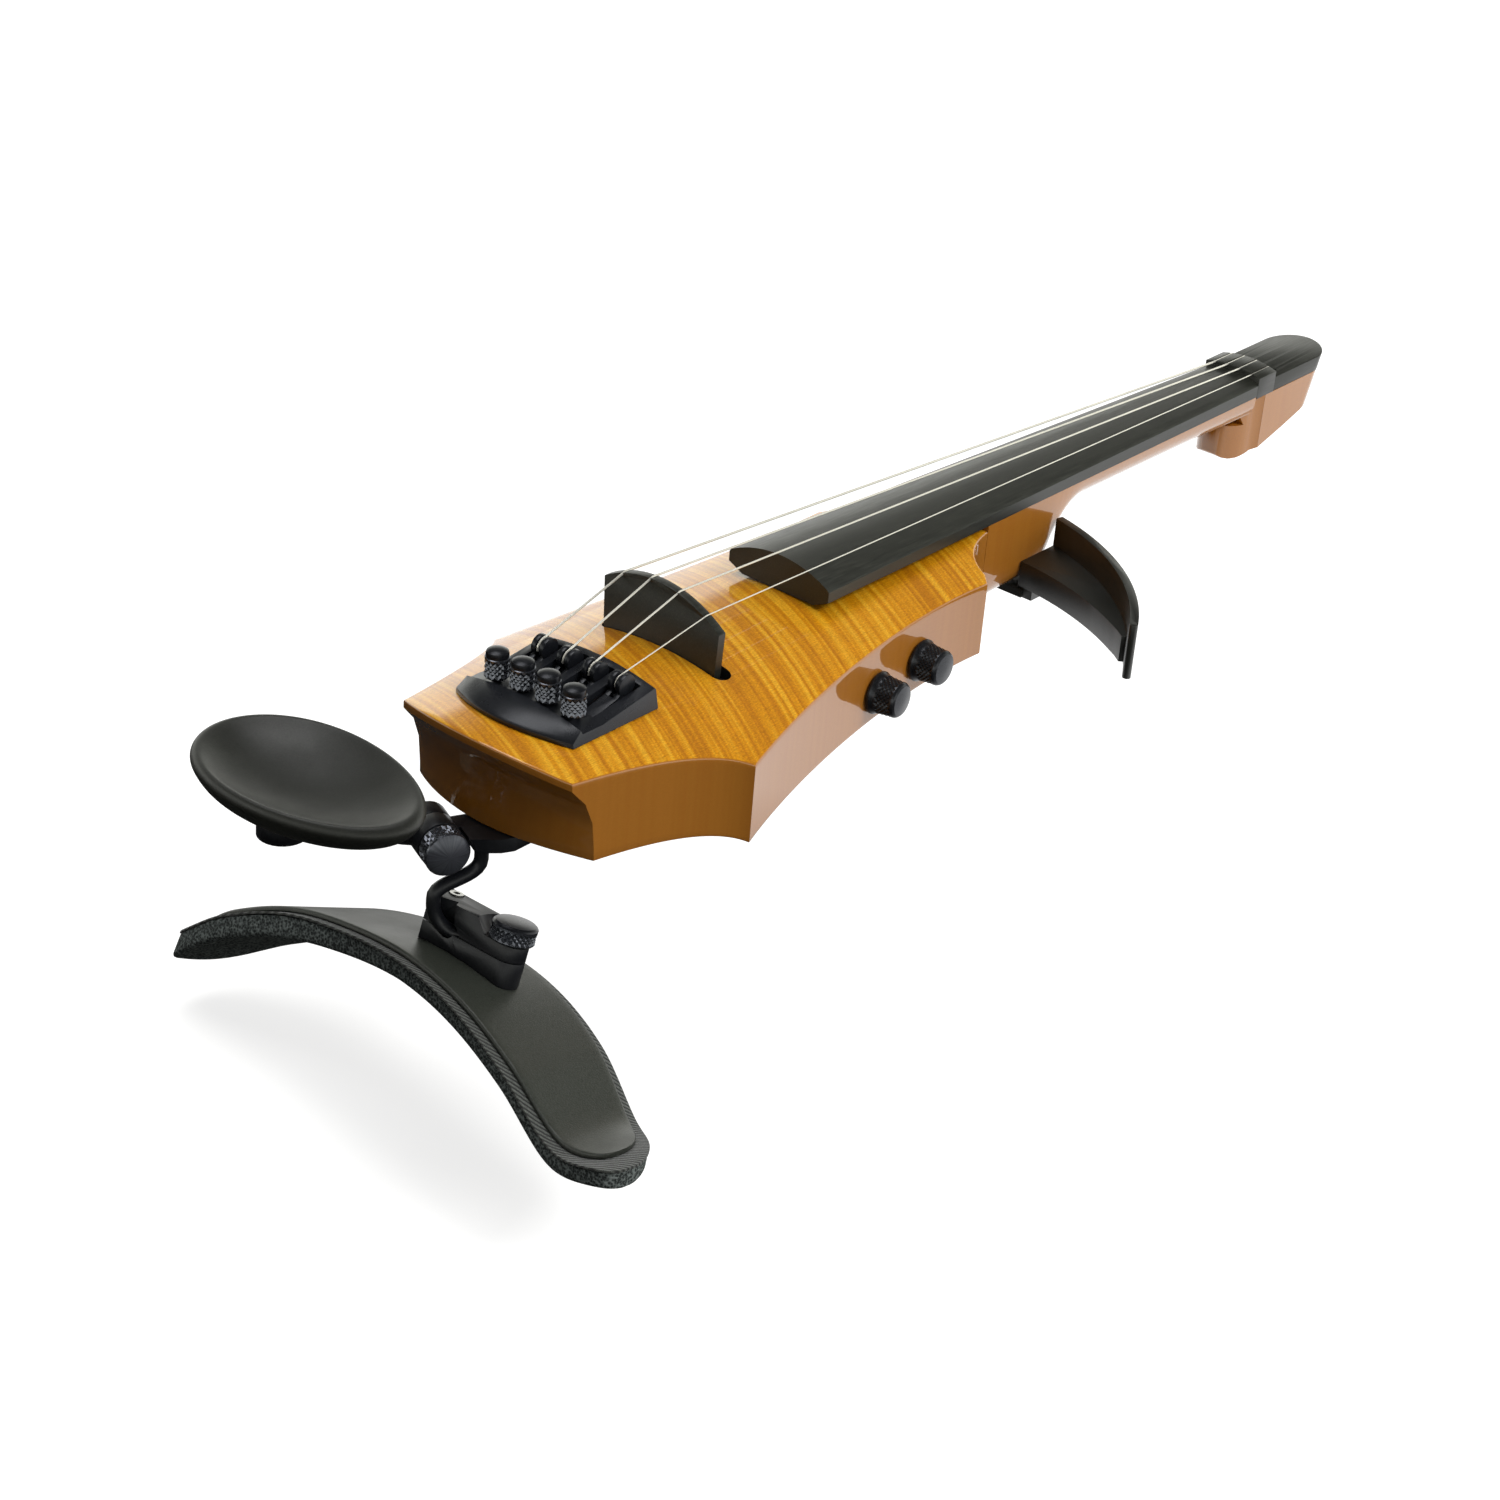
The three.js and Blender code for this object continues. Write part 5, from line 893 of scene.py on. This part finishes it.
def make_thumb_knob():
    place, axis = joint_place("thumb_knob_turn")
    screw, screw_end = 2, -4.5
    radius, base, height, chamfer = 7.15, 5.2, 6.6, 0.7
    top = base + height
    profile = [
        (screw, screw_end), (screw, base), (radius - chamfer, base), (radius, base + chamfer),
        (radius, top - 1.9), (radius + 0.05, top - 1.4), (radius - 0.2, top - 0.9),
        (radius - 0.8, top - 0.45), (radius * 0.72, top - 0.25), (radius * 0.5, top - 0.1),
        (radius * 0.25, top - 0.03), (radius * 0.04, top)]
    piece = turned("thumb_knob_knurled", profile, knurl_count(radius), (3, 5, 0.46))
    stand(piece, place, axis)
    smooth(piece, CRISP)
    dress(piece, "thumb_knob", knurled_black, "thumb_knob")
    polish_cap(piece, cap_black, axis, place.dot(axis) / MM + top - 1.6)


make_tuner_knobs()
make_control_knobs()
make_clamp_knob()
make_thumb_knob()


# Chin rest: a dished oval with a rolled rim, on its hub

def make_chin_rest():
    under = -CHIN_DISH - CHIN_THICKNESS
    profile = [
        (0.03, under), (0.25, under), (0.55, under * 0.96), (0.8, under * 0.8), (0.93, under * 0.58),
        (0.985, -4.4), (1.0, -3.2), (0.997, -2), (0.98, -0.9), (0.955, -0.2), (0.93, 0), (0.9, -0.25),
        (0.8, -CHIN_DISH * 0.27), (0.58, -CHIN_DISH * 0.63), (0.3, -CHIN_DISH * 0.92),
        (0.03, -CHIN_DISH)]
    piece = turned("chin_rest_dish", profile, 56)
    for vertex in piece.data.vertices:
        x, y = vertex.co.x, vertex.co.y
        vertex.co.x = x * CHIN_HALF_WIDTH * (1 + CHIN_EGG_SHARE * y / MM)
        vertex.co.y = y * CHIN_HALF_LENGTH
    piece.data.transform(Matrix.Translation((Vector(CHIN_PLACE) + DATUM) * MM))
    rounder = piece.modifiers.new("rounder", "SUBSURF")
    rounder.levels = 2
    rounder.render_levels = 2
    apply_modifiers(piece)
    hub_gap, hub_reach, screw_bore = 0.3, 2, 2.2
    dish_foot = CHIN_PLACE[2] - CHIN_DISH
    hub = pin((*BOSS, BOSS_TOP + hub_gap), (*BOSS, dish_foot - hub_reach), BOSS_RADIUS, 96)
    add_bevel(hub, 0.4, 40)
    apply_modifiers(hub)
    cut_away(piece, hub, "UNION")
    cut_away(piece, pin((*BOSS, BOSS_TOP - 2), (*BOSS, dish_foot - 3), screw_bore))
    smooth(piece, 40)
    dress(piece, "chin_rest", chin_plastic, "chin_rest")


make_chin_rest()


# Shoulder pad: foam, facing and plate follow one saddle

def spline(values, share):
    """A Catmull-Rom curve through evenly spaced values."""
    place = share * (len(values) - 1)
    i = min(int(place), len(values) - 2)
    t = place - i
    p0, p1 = values[max(i - 1, 0)], values[i]
    p2, p3 = values[i + 1], values[min(i + 2, len(values) - 1)]
    v0, v1 = (p2 - p0) / 2, (p3 - p1) / 2
    cubic = 2 * p1 - 2 * p2 + v0 + v1
    square = -3 * p1 + 3 * p2 - 2 * v0 - v1
    return cubic * t ** 3 + square * t ** 2 + v0 * t + p1


def foam_thickness(share):
    place = (share + 1) / 2 * (len(FOAM_THICKNESSES) - 1)
    i = min(max(int(place), 0), len(FOAM_THICKNESSES) - 2)
    return FOAM_THICKNESSES[i] + (FOAM_THICKNESSES[i + 1] - FOAM_THICKNESSES[i]) * (place - i)


def saddle_point(y, across, up):
    """A point of the saddle from its place along the pad, across it and above it."""
    share = min(max(y / PAD_HALF_LENGTH, -1), 1)
    tilt = math.radians(PAD_TILT + PAD_TWIST * share)
    x = PAD_SWEEP * share - PAD_BOW * share * share + across * math.cos(tilt) + up * math.sin(tilt)
    z = spline(PAD_HEIGHTS, (share + 1) / 2) - across * math.sin(tilt) + up * math.cos(tilt)
    turn = math.radians(PAD_YAW)
    return (PAD_PLACE[0] + x * math.cos(turn) - y * math.sin(turn),
            PAD_PLACE[1] + x * math.sin(turn) + y * math.cos(turn),
            PAD_PLACE[2] + z)


def rounded_section(half, low, high, soft_low, soft_high):
    """One side of a sheet's section, from the middle of its top to the middle of its foot."""
    shares = (0.15, 0.4, 0.65, 0.85)
    points = [(half * s, high) for s in shares if half * s < half - soft_high]
    for k in range(5):
        turn = math.radians(22.5 * k)
        points.append((half - soft_high * (1 - math.sin(turn)), high - soft_high * (1 - math.cos(turn))))
    for k in range(4, -1, -1):
        turn = math.radians(22.5 * k)
        points.append((half - soft_low * (1 - math.sin(turn)), low + soft_low * (1 - math.cos(turn))))
    return points + [(half * s, low) for s in reversed(shares) if half * s < half - soft_low]


def sheet_piece(name, inset, low_at, high, soft_low, soft_high, end_inset=None):
    """A sheet over the saddle, from one height above it to another, with an oval outline and
    rounded lower and upper edges that fade at its ends. The lower height may change along it."""
    half_length = PAD_HALF_LENGTH - (end_inset or inset)
    half_width = PAD_HALF_WIDTH - inset
    steps, section_points, end_share, fade = 110, 18, 0.9995, 4
    rings = []
    for step in range(steps + 1):
        share = math.sin(math.pi / 2 * (2 * step / steps - 1)) * end_share
        y = share * half_length
        half = half_width * (1 - abs(share) ** PAD_SQUARENESS) ** (1 / PAD_SQUARENESS)
        soft = min(1, half / half_width * fade)
        low = low_at(y / PAD_HALF_LENGTH)
        side = rounded_section(half, low, high, soft_low * soft, soft_high * soft)
        while len(side) < section_points:
            side.insert(0, (side[0][0] * 0.5, high))
        section = side[:section_points] + [(-u, v) for u, v in reversed(side[:section_points])]
        rings.append([saddle_point(y, u, v) for u, v in section])
    piece = lofted(name, rings)
    smooth(piece, 40)
    return piece


def make_pad():
    plate_low = SHEET_GAP
    plate_high = plate_low + PLATE_THICKNESS
    plate = sheet_piece("shoulder_plate_moulded", PLATE_INSET, lambda share: plate_low, plate_high,
                        soft_low=0.2, soft_high=0.8, end_inset=PLATE_END_INSET)
    dress(plate, "shoulder_rest", plate_plastic, "shoulder_plate")
    skin = sheet_piece("plate_facing_knit", 0, lambda share: -FACING_THICKNESS, 0,
                       soft_low=0.2, soft_high=0.2)
    dress(skin, "shoulder_rest", facing, "plate_facing")
    # The facing's oval outline is measured along the saddle
    foam_top = -FACING_THICKNESS - SHEET_GAP
    pad = sheet_piece("foam_pad_cut", FOAM_INSET, lambda share: foam_top - foam_thickness(share),
                      foam_top, soft_low=1.6, soft_high=0.4)
    dress(pad, "shoulder_rest", foam, "foam_pad")


make_pad()


# Nodes whose shape stays get rounded edges, smooth faces and their finish

FINISHES = {
    "black_metal": black_nickel, "ebony": ebony, "maple_top": maple_side, "control_knob": control_black,
    "string_steel": string_steel, "screw_steel": zinc_steel, "pickup_film": pickup_film,
    "black_plastic": cover_plastic, "chin_black": chin_plastic, "arm_black": arm_plastic,
    "plate_grey": plate_plastic, "facing_fabric": facing, "foam_grey": foam,
    "circuit_board": circuit_board, "battery_case": battery_case,
}
EDGE_WIDTHS = {"black_metal": 0.3, "ebony": 0.4, "maple_top": 0.5, "arm_black": 0.8}
SATIN_NODES = ("bent_rod", "rest_base_bar", "rest_clamp_bar", "chin_arm", "tail_bracket")
ROUND_NODES = ("string_g", "string_d", "string_a", "string_e", "fingerboard", "neck", "bent_rod")


def finish_nodes():
    weld_reach, bevel_angle, crease_angle = 0.002, 38, 34
    slots = {part["node"]: part["material_slot"] for part in frame["record"]["subparts"]}
    for name, node in frame["nodes"].items():
        material = black_anodised if name in SATIN_NODES else FINISHES[slots[name]]
        node.data.materials.clear()
        node.data.materials.append(material)
        node.data.polygons.foreach_set("use_smooth", [True] * len(node.data.polygons))
        weld = node.modifiers.new("weld", "WELD")
        weld.merge_threshold = weld_reach * MM
        width = EDGE_WIDTHS.get(slots[name], 0)
        if width and name not in ROUND_NODES:
            add_bevel(node, width, bevel_angle)
        split = node.modifiers.new("creases", "EDGE_SPLIT")
        split.split_angle = math.radians(crease_angle)


finish_nodes()


# Floor, world and lamps

def make_stage():
    """A pale floor that looks white, low enough for the pad's ends to swing over it. In glossy
    faces its tail end is dark, as past a table's edge, and it throws little light back there."""
    rest_swing = 12
    floor_size = 12
    camera_glow = 0.72
    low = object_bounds()[0].z - rest_swing * MM
    deselect()
    bpy.ops.mesh.primitive_plane_add(size=floor_size, location=(0, 0, low))
    floor = bpy.context.object
    floor.name = "floor"
    material, tree, shader = new_material("pale_floor")
    path = add_node(tree, "ShaderNodeLightPath")
    coordinates = add_node(tree, "ShaderNodeTexCoord")
    split = add_node(tree, "ShaderNodeSeparateXYZ", links={"Vector": coordinates.outputs["Object"]})
    speck = add_node(tree, "ShaderNodeTexNoise", {"Scale": 40, "Detail": 2})
    pale = ramp(tree, speck.outputs["Fac"], [(0.3, "#C0C0BE"), (0.7, "#C6C6C4")])
    bounce = grey_ramp(tree, split.outputs["X"], (-0.05, 0.3, 0.02, 0.6))
    colour = add_node(tree, "ShaderNodeMix", {"data_type": "RGBA"},
                      {0: path.outputs["Is Camera Ray"], 6: bounce, 7: pale})
    diffuse = add_node(tree, "ShaderNodeBsdfDiffuse", links={"Color": colour.outputs[2]})
    lift = add_node(tree, "ShaderNodeMath", {"operation": "MULTIPLY", 1: camera_glow},
                    {0: path.outputs["Is Camera Ray"]})
    glow = add_node(tree, "ShaderNodeEmission", {"Color": (1, 1, 1, 1)}, {"Strength": lift.outputs[0]})
    both = add_node(tree, "ShaderNodeAddShader", links={0: diffuse.outputs[0], 1: glow.outputs[0]})
    mirrored = grey_ramp(tree, split.outputs["X"], (0.12, 0.24, 0.02, 1.4))
    gleam = add_node(tree, "ShaderNodeEmission", {"Color": (1, 1, 1, 1)}, {"Strength": mirrored})
    shown = add_node(tree, "ShaderNodeMixShader", links={
        0: path.outputs["Is Glossy Ray"], 1: both.outputs[0], 2: gleam.outputs[0]})
    tree.links.new(shown.outputs[0], tree.nodes["Material Output"].inputs["Surface"])
    tree.nodes.remove(shader)
    floor.data.materials.append(material)


def make_world():
    """Glossy faces show a bright band round the horizon under a darker ceiling. The even light
    comes mostly from the neck's treble side, so the tail face lies in shade. The camera sees
    white past the floor's edge."""
    world = bpy.data.worlds.new("studio")
    bpy.context.scene.world = world
    world.use_nodes = True
    tree = world.node_tree
    path = add_node(tree, "ShaderNodeLightPath")
    coordinates = add_node(tree, "ShaderNodeTexCoord")
    direction = coordinates.outputs["Generated"]
    split = add_node(tree, "ShaderNodeSeparateXYZ", links={"Vector": direction})
    band = ramp(tree, split.outputs["Z"], [
        (0.29, "#FDFEF6"), (0.36, "#8B8C86"), (0.5, "#3C3C39"), (0.9, "#282827")])
    bright = add_node(tree, "ShaderNodeVectorMath", {"operation": "SCALE", "Scale": 1.8}, {0: band})
    away = (-0.72, 0.62, -0.32)
    shade = add_node(tree, "ShaderNodeVectorMath", {"operation": "DOT_PRODUCT", 1: away},
                     {0: direction})
    even = grey_ramp(tree, shade.outputs["Value"], (-0.4, 0.42, 0.78, 0.03))
    level = add_node(tree, "ShaderNodeMix", {"data_type": "RGBA"}, {
        0: path.outputs["Is Glossy Ray"], 6: even, 7: bright.outputs["Vector"]})
    seen = add_node(tree, "ShaderNodeMix", {"data_type": "RGBA", 7: (1, 1, 1, 1)}, {
        0: path.outputs["Is Camera Ray"], 6: level.outputs[2]})
    tree.links.new(seen.outputs[2], tree.nodes["Background"].inputs["Color"])


def area_lamp(name, place, target, size, power, mirrored=True):
    """A soft box. One that isn't mirrored lights the part but shows no white patch in the lacquer."""
    data = bpy.data.lights.new(name, "AREA")
    data.shape = "RECTANGLE"
    data.size, data.size_y = size
    data.energy = power
    lamp = bpy.data.objects.new(name, data)
    bpy.context.scene.collection.objects.link(lamp)
    lamp.visible_glossy = mirrored
    aim = (Vector(target) - Vector(place)).to_track_quat("-Z", "Y")
    lamp.matrix_world = Matrix.Translation(Vector(place)) @ aim.to_matrix().to_4x4()


make_stage()
make_world()
area_lamp("key", (0.0, 0.5, 1.7), (0, 0, 0), (1.4, 0.8), 13)
area_lamp("fill", (0.35, -1.35, 1.4), (0.05, 0, 0), (0.9, 0.5), 19, mirrored=False)

bpy.context.scene.view_settings.view_transform = "Standard"
